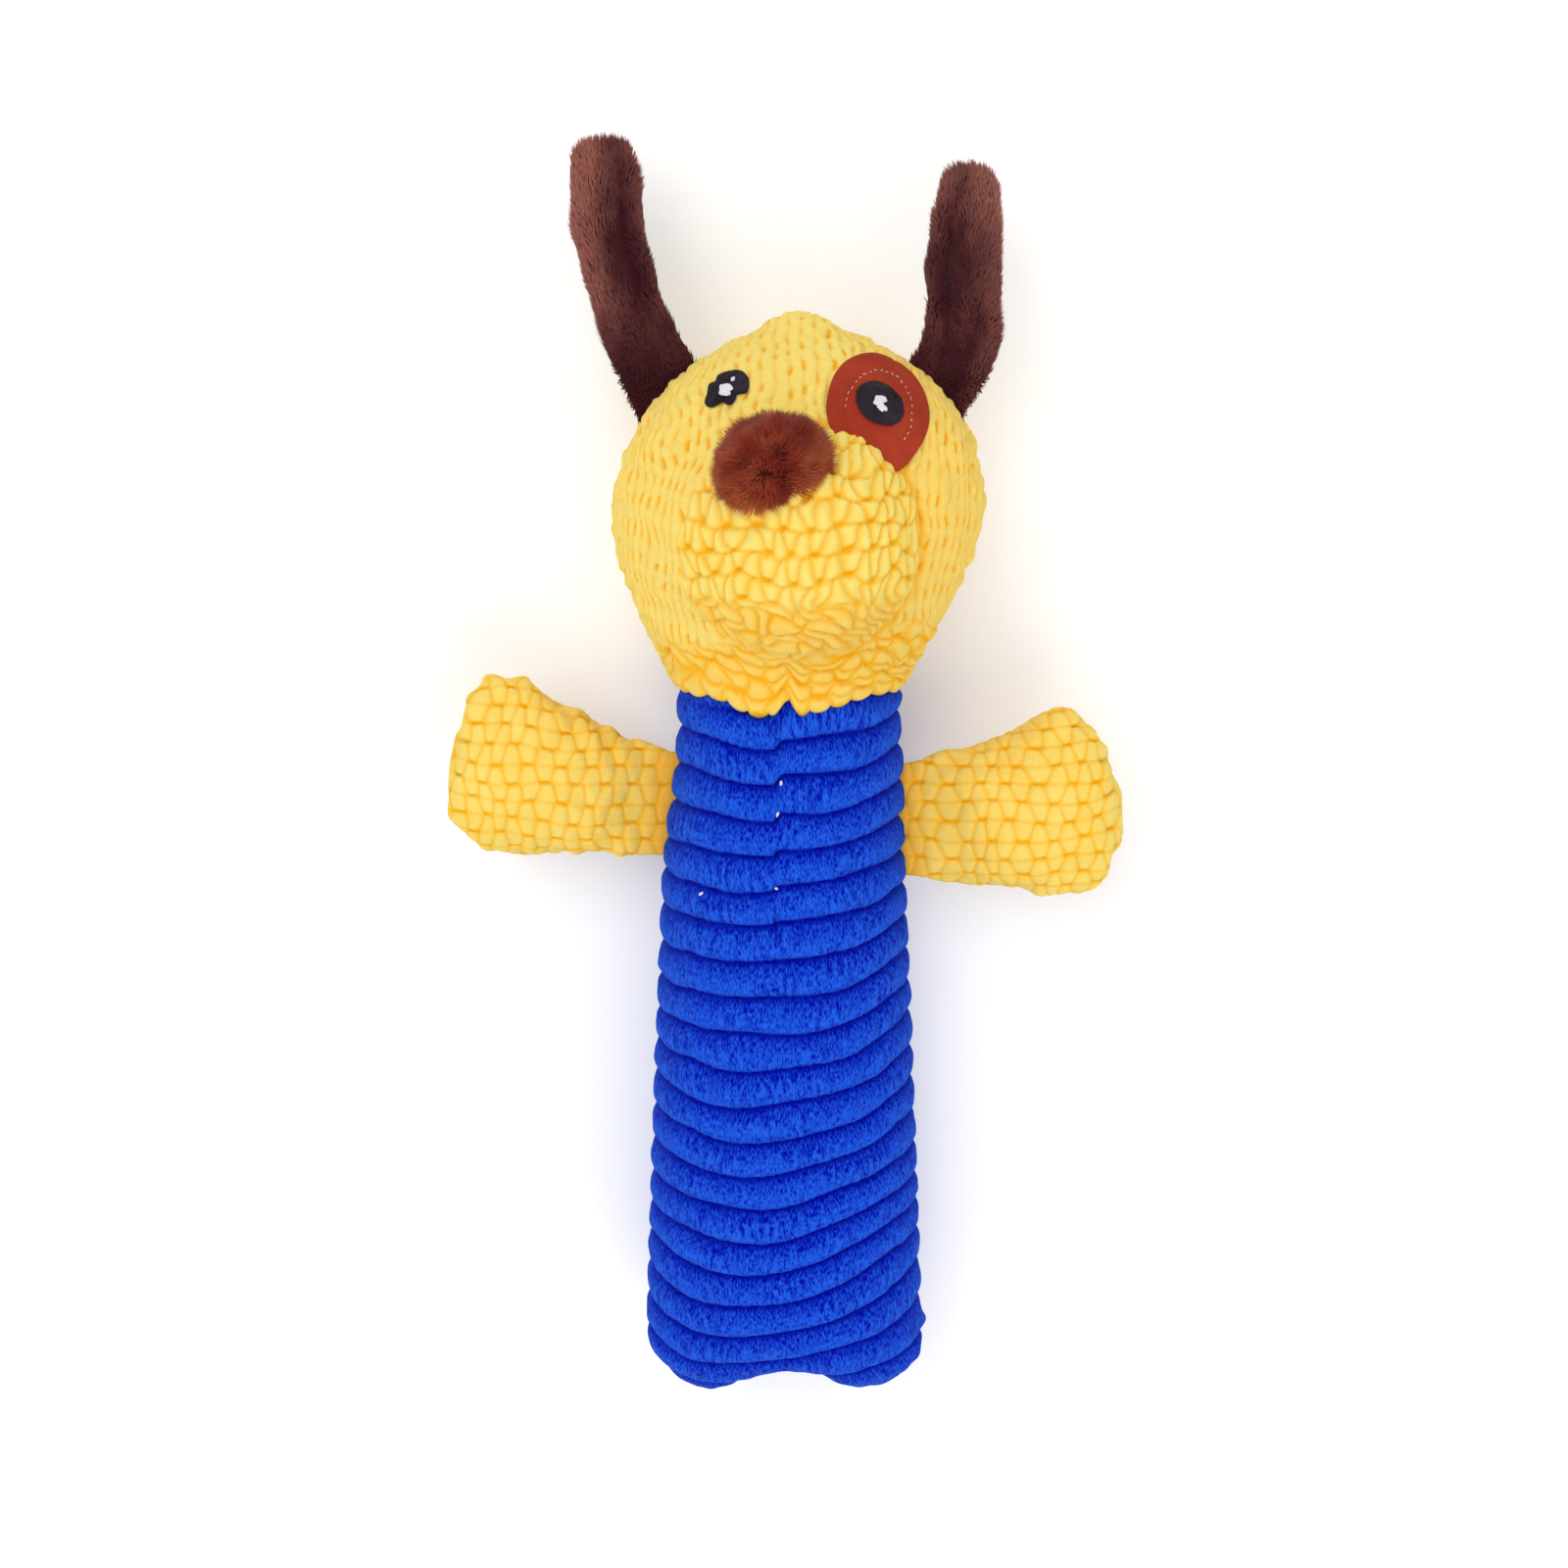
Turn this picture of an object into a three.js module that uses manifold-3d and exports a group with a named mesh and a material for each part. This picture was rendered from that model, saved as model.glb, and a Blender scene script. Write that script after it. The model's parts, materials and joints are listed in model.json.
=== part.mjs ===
// A squeaky plush dog toy: a stuffed tube body of ribbed plush, a round knitted head with a muzzle,
// two fur ears and two knitted arms, with a bellows squeaker buried in the stuffing of the body.
// It lies on its back. Millimetres, +Z up out of the face, +Y from the hem to the ears, +X to the right
// of someone who looks down at the face. It is laid out from the middle of the neck, where the head nods.
import * as THREE from "three";
import { mergeVertices } from "three/addons/utils/BufferGeometryUtils.js";
import Module from "manifold-3d";

const wasm = await Module();
wasm.setup();

// Clearances and cutting
const SEAM_GAP = 0.3; // between two pieces that are sewn or laid together
const SOCKET_GAP = 0.6; // between the head and the round top of the body that it nods on
const REST_FLAT_DEPTH = 0.5; // how far the plush is pressed flat where the toy lies on it
const CUT_OVERRUN = 250; // how far a cutting block runs past what it cuts
const LEAST_HALF_SIZE = 0.6; // thinnest half section of a tapering form

// Body tube
const BODY_LENGTH = 180.5; // neck to hem
const NECK_RADIUS = 29.3;
const BODY_HALF_DEPTH = 30.5;
const BODY_COVER_THICKNESS = 3;
const BODY_WIDENING_SHARE = 0.8; // below 1 the tube widens early
const HEM_HALF_WIDTH = 37.6;
const HEM_CORNER_RADIUS = 17;
const HEM_TAPER_LENGTH = 34; // over which the tube flattens into the hem
const HEM_SEAM_THICKNESS = 3;
const HEM_LIFT = 4.5; // how far the stuffing draws the middle of the hem up
const HEM_LIFT_HALF_WIDTH = 24;
const RIB_PITCH = 9.3;
const RIB_GROOVE_DEPTH = 1.3;
const RIB_STATION_SHARES = [0, 0.5]; // of the pitch
const RIB_GROOVE_SHARES = [1, 0]; // of the groove's depth, at those stations
const PLAIN_RING_SPACING = 14;

// Head
const NECK_RIM_LATITUDE_DEG = 21; // where the head ends on the round top of the body
const HEAD_LENGTH = 96.3; // rim at the neck to crown
const HEAD_HALF_WIDTH = 47;
const HEAD_HALF_DEPTH = 38;
const HEAD_SIDE_SHIFT = 3.2; // the head sits a little to the right of the body
const HEAD_SKIRT = 8; // length below the rim that the cuts take off
const HEAD_COVER_THICKNESS = 3.4;
const HEAD_LENGTH_SHARES = [0, 0.08, 0.19, 0.29, 0.4, 0.5, 0.6, 0.68, 0.76, 0.83, 0.9, 0.95, 0.985];
const HEAD_SPREAD_SHARES = [0, 0.15, 0.47, 0.69, 0.91, 1, 0.97, 0.91, 0.81, 0.68, 0.5, 0.3, 0.13];
const HEAD_WIDEST_SHARE = 0.5;

// Muzzle and nose
const MUZZLE_HALF_WIDTH = 28.5;
const MUZZLE_HALF_LENGTH = 28.5;
const MUZZLE_HALF_HEIGHT = 30;
const MUZZLE_ABOVE_RIM = 43;
const MUZZLE_SIDE_SHIFT = 4.2;
const MUZZLE_RISE = 23; // of its centre above the middle of the head
const MUZZLE_COVER_THICKNESS = 3.4;
const NOSE_HALF_WIDTH = 13.5;
const NOSE_HALF_HEIGHT = 12;
const NOSE_HALF_DEPTH = 9;
const NOSE_COVER_THICKNESS = 2.5;
const NOSE_LEAN_UP_DEG = 40; // from straight out of the face, towards the crown
const NOSE_LEAN_LEFT_DEG = 14;

// Eyes and patch. The patch and the left eye are placed from the middle of the neck, the right eye on
// its patch.
const PATCH_HALF_WIDTH = 11.8;
const PATCH_HALF_HEIGHT = 13.5;
const PATCH_THICKNESS = 1.2;
const PATCH_ACROSS = 22.4;
const PATCH_ABOVE_NECK = 84.5;
const PATCH_TURN_DEG = 8;
const EYE_THICKNESS = 0.8;
const EYE_RIGHT_HALF_WIDTH = 5.9;
const EYE_RIGHT_HALF_HEIGHT = 4.7;
const EYE_RIGHT_TURN_DEG = -35;
const EYE_RIGHT_ACROSS_SHARE = 0.02; // of the patch's half width, from its middle
const EYE_RIGHT_UP_SHARE = 0.13; // of the patch's half height, from its middle
const EYE_LEFT_HALF_WIDTH = 5.3;
const EYE_LEFT_HALF_HEIGHT = 4.3;
const EYE_LEFT_TURN_DEG = 24;
const EYE_LEFT_ACROSS = -13.4;
const EYE_LEFT_ABOVE_NECK = 89.2;
const GLINT_RADIUS = 1.8;
const GLINT_THICKNESS = 0.6;
const GLINT_ACROSS_SHARE = -0.08; // of the eye's half width
const GLINT_UP_SHARE = 0.3; // of the eye's half height
const EYES = [
  {
    name: "eye_right",
    across: PATCH_ACROSS + PATCH_HALF_WIDTH * EYE_RIGHT_ACROSS_SHARE,
    aboveNeck: PATCH_ABOVE_NECK + PATCH_HALF_HEIGHT * EYE_RIGHT_UP_SHARE,
    halfWidth: EYE_RIGHT_HALF_WIDTH,
    halfHeight: EYE_RIGHT_HALF_HEIGHT,
    turnDeg: EYE_RIGHT_TURN_DEG,
    onPatch: true,
  },
  {
    name: "eye_left",
    across: EYE_LEFT_ACROSS,
    aboveNeck: EYE_LEFT_ABOVE_NECK,
    halfWidth: EYE_LEFT_HALF_WIDTH,
    halfHeight: EYE_LEFT_HALF_HEIGHT,
    turnDeg: EYE_LEFT_TURN_DEG,
    onPatch: false,
  },
];

// Ears
const EAR_HALF_THICKNESS = 4.8;
const EAR_ROOT_RADIUS = 2; // of the bead of seam allowance that turns in the head's seam
const EAR_LEFT_LENGTH = 61.4;
const EAR_LEFT_HALF_WIDTH = 9.2;
const EAR_LEFT_DROOP = 9; // of its tip towards the ground
const EAR_RIGHT_LENGTH = 57;
const EAR_RIGHT_HALF_WIDTH = 10;
const EAR_RIGHT_DROOP = 8;
const EAR_ROOT_TURN_SHARE = 0.25; // of its length, over which the ear turns square to its own line
const EAR_ALONG_SHARES = [0.05, 0.13, 0.25, 0.4, 0.55, 0.7, 0.82, 0.91, 0.97];
const EAR_THICKNESS_SHARES = [0.31, 0.6, 0.86, 1, 1, 0.98, 0.9, 0.74, 0.44];
const EARS = [
  {
    name: "ear_left",
    side: -1,
    length: EAR_LEFT_LENGTH,
    halfWidth: EAR_LEFT_HALF_WIDTH,
    droop: EAR_LEFT_DROOP,
    rootShare: 0.82,
    outwardShares: [0.12, 0.215, 0.25],
    upwardShares: [0.2, 0.51, 0.97],
    widthShares: [1, 1, 0.99, 0.99, 1, 1.02, 1, 0.86, 0.56],
  },
  {
    name: "ear_right",
    side: 1,
    length: EAR_RIGHT_LENGTH,
    halfWidth: EAR_RIGHT_HALF_WIDTH,
    droop: EAR_RIGHT_DROOP,
    rootShare: 0.81,
    outwardShares: [0.1, 0.12, 0.13],
    upwardShares: [0.16, 0.55, 0.98],
    widthShares: [0.96, 0.98, 1, 1.02, 1.02, 0.94, 0.84, 0.68, 0.42],
  },
];

// Arms
const ARM_LENGTH = 55.5;
const ARM_ROOT_HALF_HEIGHT = 14;
const ARM_HALF_THICKNESS = 10.5;
const ARM_ROOT_RADIUS = 2; // of the bead of seam allowance that turns in the body's seam
const ARM_LEFT_BELOW_NECK = 17.8;
const ARM_LEFT_PAW_RISE = 33.5;
const ARM_LEFT_PAW_DROP = 13;
const ARM_RIGHT_BELOW_NECK = 21.5;
const ARM_RIGHT_PAW_RISE = 28.6;
const ARM_RIGHT_PAW_DROP = 19.5;
const ARM_COVER_THICKNESS = 2.6;
const ARM_ALONG_SHARES = [0.08, 0.2, 0.35, 0.54, 0.74, 0.85, 0.93, 0.98];
const ARM_SPREAD_SHARES = [0.05, 0.17, 0.42, 0.74, 1, 1, 1, 1]; // from the root's height to the paw's
const ARM_CLOSING_SHARES = [1, 1, 1, 1, 1, 0.95, 0.76, 0.44];
const ARM_THICKNESS_SHARES = [0.22, 0.52, 0.86, 1, 1, 0.9, 0.7, 0.38];
const ARMS = [
  {
    name: "arm_left",
    side: -1,
    belowNeck: ARM_LEFT_BELOW_NECK,
    pawRise: ARM_LEFT_PAW_RISE,
    pawDrop: ARM_LEFT_PAW_DROP,
  },
  {
    name: "arm_right",
    side: 1,
    belowNeck: ARM_RIGHT_BELOW_NECK,
    pawRise: ARM_RIGHT_PAW_RISE,
    pawDrop: ARM_RIGHT_PAW_DROP,
  },
];

// Squeaker: two shells joined by a folding wall, with a reed plug through the lower one
const SQUEAKER_BELOW_NECK = 78;
const SQUEAKER_BASE_HEIGHT = 19; // of its underside above the ground
const SQUEAKER_RADIUS = 20;
const SQUEAKER_WALL = 1.2;
const SQUEAKER_LIP_HEIGHT = 3;
const SQUEAKER_CROWN_RISE = 2;
const BELLOWS_HEIGHT = 14;
const BELLOWS_FOLDS = 3;
const BELLOWS_FOLD_DEPTH = 3;
const BELLOWS_WALL = 1;
const REED_PLUG_RADIUS = 5.6;
const REED_PLUG_BORE_RADIUS = 3.4;
const REED_PLUG_FLANGE_RADIUS = 8.2;
const REED_PLUG_FLANGE_THICKNESS = 1.2;
const REED_PLUG_RISE = 4; // above the underside of the lower shell
const REED_THICKNESS = 0.4;
const REED_WIDTH = 3;
const REED_TIP_CLEARANCE = 0.4;
const REED_ROOT_OVERLAP = 1.4;
const REED_CAP_WALL = 1;
const REED_CAP_SKIRT = 2.2;

// Facets
const RING_POINTS = 24;
const LIMB_RING_POINTS = 14;
const LATHE_STEPS = 24;
const SMALL_LATHE_STEPS = 16;
const BALL_COLUMNS = 20;
const BALL_ROWS = 10;
const SMALL_BALL_COLUMNS = 14;
const SMALL_BALL_ROWS = 8;
const SOCKET_COLUMNS = 36;
const SOCKET_ROWS = 18;
const DOME_RINGS = 4;
const ROOT_ROUND_DEGS = [20, 55, 90, 150]; // round a root bead, from its far side to its neck

const COLOURS = {
  ribbedPlush: { color: 0x1a48cc, roughness: 0.9 },
  knit: { color: 0xf6c63f, roughness: 0.92 },
  earFur: { color: 0x4a1d1c, roughness: 0.95 },
  noseFur: { color: 0x6a2a20, roughness: 0.95 },
  patchFelt: { color: 0xa53f28, roughness: 0.95 },
  eyeThread: { color: 0x2c232b, roughness: 0.85 },
  glintThread: { color: 0xe6e4ea, roughness: 0.6 },
  fill: { color: 0xf4f2ec, roughness: 1 },
  squeakerPlastic: { color: 0xe9eef2, roughness: 0.4 },
  reedMetal: { color: 0xc9a24a, roughness: 0.3, metalness: 1 },
};

const degrees = THREE.MathUtils.degToRad;
const bodyAxisHeight = BODY_HALF_DEPTH - REST_FLAT_DEPTH;
const headMiddleHeight = HEAD_HALF_DEPTH - REST_FLAT_DEPTH;
const neckRimAngle = degrees(NECK_RIM_LATITUDE_DEG);
const rimAboveNeck = NECK_RADIUS * Math.sin(neckRimAngle);
const onAxis = (radius, height) => new THREE.Vector2(radius, height);

// The value at a place in a table, on a smooth curve through its points.
function alongTable(places, values, place) {
  const last = places.length - 1;
  if (place <= places[0]) return values[0];
  if (place >= places[last]) return values[last];
  const next = places.findIndex((at) => at > place);
  const here = next - 1;
  const before = Math.max(here - 1, 0);
  const after = Math.min(next + 1, last);
  const span = places[next] - places[here];
  const t = (place - places[here]) / span;
  const slopeHere = ((values[next] - values[before]) / (places[next] - places[before])) * span;
  const slopeNext = ((values[after] - values[here]) / (places[after] - places[here])) * span;
  const curve = 3 * t ** 2 - 2 * t ** 3;
  const lead = (t ** 3 - 2 * t ** 2 + t) * slopeHere;
  const trail = (t ** 3 - t ** 2) * slopeNext;
  return values[here] * (1 - curve) + values[next] * curve + lead + trail;
}

// A ring of points round a centre, wide along one direction and thick along another.
function ring(centre, wide, thick, count) {
  return Array.from({ length: count }, (_, i) => {
    const turn = (2 * Math.PI * i) / count;
    const point = centre.clone().addScaledVector(wide, Math.cos(turn));
    return point.addScaledVector(thick, Math.sin(turn));
  });
}

// The triangles that close a ring of points straight across, from each point to its mirror image.
function capAcross(start, size) {
  const faces = [];
  for (let j = 0; j < size / 2; j++) {
    const corners = [j, j + 1, size - j - 1, (size - j) % size];
    const flat = [...new Set(corners)].map((corner) => start + corner);
    for (let k = 2; k < flat.length; k++) faces.push([flat[0], flat[k - 1], flat[k]]);
  }
  return faces;
}

// A closed surface through rings of points. A ring of one point is a pole.
function loft(rings) {
  const starts = rings.map((_, i) => rings.slice(0, i).reduce((sum, r) => sum + r.length, 0));
  const faces = [];
  for (let i = 0; i + 1 < rings.length; i++) {
    const [lower, upper] = [rings[i].length, rings[i + 1].length];
    const around = Math.max(lower, upper);
    for (let j = 0; j < around; j++) {
      const next = (j + 1) % around;
      const a = starts[i] + (j % lower);
      const b = starts[i] + (next % lower);
      const c = starts[i + 1] + (next % upper);
      const d = starts[i + 1] + (j % upper);
      if (a !== b) faces.push([a, b, c]);
      if (c !== d) faces.push([a, c, d]);
    }
  }
  const end = rings.length - 1;
  if (rings[0].length > 1) {
    faces.push(...capAcross(0, rings[0].length).map((face) => face.reverse()));
  }
  if (rings[end].length > 1) faces.push(...capAcross(starts[end], rings[end].length));
  const vertices = rings.flat().flatMap((point) => point.toArray());
  const geometry = new THREE.BufferGeometry();
  geometry.setAttribute("position", new THREE.Float32BufferAttribute(vertices, 3));
  geometry.setIndex(faces.flat());
  return geometry;
}

// The volume inside a closed mesh, below zero where its faces point inwards.
function signedVolume(positions, index) {
  const [a, b, c] = [new THREE.Vector3(), new THREE.Vector3(), new THREE.Vector3()];
  let sum = 0;
  for (let i = 0; i < index.length; i += 3) {
    a.fromArray(positions, index[i] * 3);
    b.fromArray(positions, index[i + 1] * 3);
    c.fromArray(positions, index[i + 2] * 3);
    sum += a.dot(b.cross(c));
  }
  return sum / 6;
}

// A closed geometry as a solid that can be cut and joined.
function solid(geometry) {
  const bare = geometry.clone();
  for (const name of Object.keys(bare.attributes)) {
    if (name !== "position") bare.deleteAttribute(name);
  }
  const merged = mergeVertices(bare);
  const vertProperties = new Float32Array(merged.attributes.position.array);
  const triVerts = new Uint32Array(merged.index.array);
  if (signedVolume(vertProperties, triVerts) < 0) triVerts.reverse();
  return new wasm.Manifold(new wasm.Mesh({ numProp: 3, vertProperties, triVerts }));
}

// A solid back as a geometry.
function geometryOf(made) {
  const mesh = made.getMesh();
  const geometry = new THREE.BufferGeometry();
  geometry.setAttribute("position", new THREE.BufferAttribute(mesh.vertProperties, 3));
  geometry.setIndex(new THREE.BufferAttribute(mesh.triVerts, 1));
  geometry.computeVertexNormals();
  return geometry;
}

// Everything on one side of a level height, as a block that reaches past the toy.
function above(height) {
  const side = CUT_OVERRUN * 2;
  return solid(new THREE.BoxGeometry(side, side, side).translate(0, 0, height + CUT_OVERRUN));
}

function below(height) {
  const side = CUT_OVERRUN * 2;
  return solid(new THREE.BoxGeometry(side, side, side).translate(0, 0, height - CUT_OVERRUN));
}

// The front half or the back half of a cover that is sewn at a level height, clear of the ground.
function frontOf(cover, seamHeight) {
  return cover.intersect(above(seamHeight + SEAM_GAP / 2));
}

function backOf(cover, seamHeight) {
  return cover.intersect(below(seamHeight - SEAM_GAP / 2)).intersect(above(0));
}

function mesh(name, made, colour) {
  const geometry = made.isBufferGeometry ? made : geometryOf(made);
  const found = new THREE.Mesh(geometry, new THREE.MeshStandardMaterial(COLOURS[colour]));
  found.name = name;
  return found;
}

function ellipsoid(halfWidth, halfLength, halfHeight, columns = BALL_COLUMNS, rows = BALL_ROWS) {
  const ball = new THREE.SphereGeometry(1, columns, rows);
  return ball.rotateX(Math.PI / 2).scale(halfWidth, halfLength, halfHeight);
}

// Half width of the body's flat outline at a distance below the neck.
function bodyHalfWidth(belowNeck) {
  const cornerStart = BODY_LENGTH - HEM_CORNER_RADIUS;
  const share = THREE.MathUtils.clamp(belowNeck / cornerStart, 0, 1);
  const side = NECK_RADIUS + (HEM_HALF_WIDTH - NECK_RADIUS) * share ** BODY_WIDENING_SHARE;
  const past = THREE.MathUtils.clamp(belowNeck - cornerStart, 0, HEM_CORNER_RADIUS);
  return side - HEM_CORNER_RADIUS + Math.sqrt(HEM_CORNER_RADIUS ** 2 - past ** 2);
}

// Half outline of the body from the side: x runs down from the neck, y is the half depth.
function bodySideLine(inset) {
  const taperStart = BODY_LENGTH - HEM_TAPER_LENGTH;
  const seamHalf = inset > 0 ? LEAST_HALF_SIZE : HEM_SEAM_THICKNESS / 2;
  const halfDepth = BODY_HALF_DEPTH - inset;
  const line = new THREE.Path();
  line.absarc(0, 0, NECK_RADIUS - inset, Math.PI, Math.PI / 2, true);
  line.lineTo(taperStart, halfDepth);
  const taperLength = HEM_TAPER_LENGTH - inset;
  line.absellipse(taperStart, seamHalf, taperLength, halfDepth - seamHalf, Math.PI / 2, 0, true);
  return line;
}

// How far the middle of the hem is drawn up, fading towards the neck and the sides.
function hemLift(across, belowNeck) {
  const taperStart = BODY_LENGTH - HEM_TAPER_LENGTH;
  const fade = THREE.MathUtils.clamp((belowNeck - taperStart) / HEM_TAPER_LENGTH, 0, 1) ** 2;
  const reach = Math.min(Math.abs(across) / HEM_LIFT_HALF_WIDTH, 1);
  return (HEM_LIFT * fade * (1 + Math.cos(Math.PI * reach))) / 2;
}

function bodyRing(point, inset, groove) {
  const halfWidth = point.x < 0 ? point.y : bodyHalfWidth(point.x) - inset;
  const centre = new THREE.Vector3(0, -point.x, bodyAxisHeight);
  const wide = new THREE.Vector3(Math.max(halfWidth - groove, LEAST_HALF_SIZE), 0, 0);
  const thick = new THREE.Vector3(0, 0, Math.max(point.y - groove, LEAST_HALF_SIZE));
  const points = ring(centre, wide, thick, RING_POINTS);
  for (const at of points) at.y += hemLift(at.x, point.x);
  return points;
}

// The stuffed tube, grown or shrunk all round by the inset, with or without its ribs.
function bodyForm(inset, isRibbed) {
  const line = bodySideLine(inset);
  const length = line.getLength();
  const rings = [[new THREE.Vector3(0, NECK_RADIUS - inset, bodyAxisHeight)]];
  const firstRib = (NECK_RADIUS - inset) * (Math.PI / 2 - neckRimAngle);
  for (let i = 1; i < DOME_RINGS; i++) {
    rings.push(bodyRing(line.getPointAt((firstRib * i) / DOME_RINGS / length), inset, 0));
  }
  const spacing = isRibbed ? RIB_PITCH : PLAIN_RING_SPACING;
  const count = Math.round((length - firstRib) / spacing);
  const stationShares = isRibbed ? RIB_STATION_SHARES : RIB_STATION_SHARES.slice(0, 1);
  for (let rib = 0; rib < count; rib++) {
    stationShares.forEach((stationShare, i) => {
      const along = firstRib + ((rib + stationShare) * (length - firstRib)) / count;
      const groove = isRibbed ? RIB_GROOVE_DEPTH * RIB_GROOVE_SHARES[i] : 0;
      rings.push(bodyRing(line.getPointAt(along / length), inset, groove));
    });
  }
  rings.push(bodyRing(line.getPointAt(1), inset, 0));
  return solid(loft(rings));
}

// The middle of the head at a share of its length: the head leans from the body's axis to its own.
function headCentre(share) {
  const moved = THREE.MathUtils.smoothstep(share, 0, HEAD_WIDEST_SHARE);
  const height = bodyAxisHeight + (headMiddleHeight - bodyAxisHeight) * moved;
  return new THREE.Vector3(HEAD_SIDE_SHIFT * moved, rimAboveNeck + HEAD_LENGTH * share, height);
}

function headHalfSize(share, greatest) {
  const spread = alongTable(HEAD_LENGTH_SHARES, HEAD_SPREAD_SHARES, share);
  const least = share < HEAD_WIDEST_SHARE ? NECK_RADIUS : 0;
  return least + (greatest - least) * spread;
}

function headRing(share, lift, inset) {
  const centre = headCentre(share);
  centre.y += lift;
  const wide = new THREE.Vector3(headHalfSize(share, HEAD_HALF_WIDTH) - inset, 0, 0);
  const thick = new THREE.Vector3(0, 0, headHalfSize(share, HEAD_HALF_DEPTH) - inset);
  return ring(centre, wide, thick, RING_POINTS);
}

// The head, grown or shrunk all round by the inset, cut off level at its rim. Its skirt below the rim is
// what the cut takes off.
function headForm(inset) {
  const rings = [headRing(0, -HEAD_SKIRT, inset)];
  for (const share of HEAD_LENGTH_SHARES) {
    if (headHalfSize(share, HEAD_HALF_DEPTH) - inset < LEAST_HALF_SIZE) continue;
    const towardsCrown = Math.max(share - HEAD_WIDEST_SHARE, 0) / (1 - HEAD_WIDEST_SHARE);
    rings.push(headRing(share, -inset * towardsCrown, inset));
  }
  const crown = headCentre(1);
  crown.y -= inset;
  rings.push([crown]);
  const side = CUT_OVERRUN * 2;
  const keep = new THREE.BoxGeometry(side, side, side).translate(0, rimAboveNeck + CUT_OVERRUN, 0);
  return solid(loft(rings)).intersect(solid(keep));
}

function headSocket() {
  const radius = NECK_RADIUS + SOCKET_GAP;
  const ball = ellipsoid(radius, radius, radius, SOCKET_COLUMNS, SOCKET_ROWS);
  return solid(ball.translate(0, 0, bodyAxisHeight));
}

function muzzleForm(inset) {
  const ball = ellipsoid(MUZZLE_HALF_WIDTH - inset, MUZZLE_HALF_LENGTH - inset, MUZZLE_HALF_HEIGHT - inset);
  const middle = muzzleMiddle();
  return solid(ball.translate(middle.x, middle.y, middle.z));
}

function muzzleMiddle() {
  const height = headMiddleHeight + MUZZLE_RISE;
  return new THREE.Vector3(MUZZLE_SIDE_SHIFT, rimAboveNeck + MUZZLE_ABOVE_RIM, height);
}

// The nose lies on the muzzle, turned to face the way that it leans.
function noseForm(inset) {
  const halves = [NOSE_HALF_WIDTH, NOSE_HALF_HEIGHT, NOSE_HALF_DEPTH].map((half) => half - inset);
  const ball = ellipsoid(...halves, SMALL_BALL_COLUMNS, SMALL_BALL_ROWS);
  const lean = new THREE.Euler(-degrees(NOSE_LEAN_UP_DEG), -degrees(NOSE_LEAN_LEFT_DEG), 0, "YXZ");
  const out = new THREE.Vector3(0, 0, MUZZLE_HALF_LENGTH).applyEuler(lean);
  const place = new THREE.Matrix4().makeRotationFromEuler(lean);
  place.setPosition(muzzleMiddle().add(out));
  return solid(ball.applyMatrix4(place));
}

// A flat piece of an elliptic outline that follows the face at a height over it.
function onFace({ across, aboveNeck, halfWidth, halfHeight, turnDeg }, lift, thickness) {
  const outline = new THREE.CylinderGeometry(1, 1, CUT_OVERRUN, SMALL_LATHE_STEPS).rotateX(Math.PI / 2);
  outline.scale(halfWidth, halfHeight, 1).rotateZ(degrees(turnDeg));
  outline.translate(across, aboveNeck, headMiddleHeight + CUT_OVERRUN / 2);
  const layer = headForm(-lift - thickness).subtract(headForm(-lift));
  return solid(outline).intersect(layer).subtract(muzzleForm(-SEAM_GAP));
}

// The place and direction of an ear's root on the outline of the head.
function earRoot(ear) {
  const at = (share) => {
    const point = headCentre(share);
    point.x += ear.side * headHalfSize(share, HEAD_HALF_WIDTH);
    return point;
  };
  const step = EAR_ALONG_SHARES[0];
  const along = at(ear.rootShare + step).sub(at(ear.rootShare - step));
  along.z = 0;
  return { middle: at(ear.rootShare), along: along.normalize() };
}

function earCurve(ear) {
  const { middle } = earRoot(ear);
  const points = [middle];
  ear.outwardShares.forEach((outward, i) => {
    const upward = ear.upwardShares[i];
    const shift = new THREE.Vector3(ear.side * outward, upward, 0).multiplyScalar(ear.length);
    shift.z = -ear.droop * upward ** 2;
    points.push(middle.clone().add(shift));
  });
  return new THREE.CatmullRomCurve3(points);
}

function earForm(ear) {
  const curve = earCurve(ear);
  const root = earRoot(ear);
  const wideAt = (share) => {
    const way = curve.getTangentAt(share);
    const square = new THREE.Vector3(way.y, -way.x, 0).normalize();
    if (square.dot(root.along) < 0) square.negate();
    const turned = THREE.MathUtils.smoothstep(share, 0, EAR_ROOT_TURN_SHARE);
    return root.along.clone().lerp(square, turned).normalize();
  };
  const thickWay = new THREE.Vector3(0, 0, 1);
  const rings = ROOT_ROUND_DEGS.map((deg) => {
    const centre = root.middle.clone();
    centre.addScaledVector(curve.getTangentAt(0), -EAR_ROOT_RADIUS * Math.cos(degrees(deg)));
    const wide = wideAt(0).multiplyScalar(ear.halfWidth * ear.widthShares[0]);
    const thick = thickWay.clone().multiplyScalar(EAR_ROOT_RADIUS * Math.sin(degrees(deg)));
    return ring(centre, wide, thick, LIMB_RING_POINTS);
  });
  EAR_ALONG_SHARES.forEach((share, i) => {
    const wide = wideAt(share).multiplyScalar(ear.halfWidth * ear.widthShares[i]);
    const thick = thickWay.clone().multiplyScalar(EAR_HALF_THICKNESS * EAR_THICKNESS_SHARES[i]);
    rings.push(ring(curve.getPointAt(share), wide, thick, LIMB_RING_POINTS));
  });
  rings.push([curve.getPointAt(1)]);
  return solid(loft(rings));
}

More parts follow.
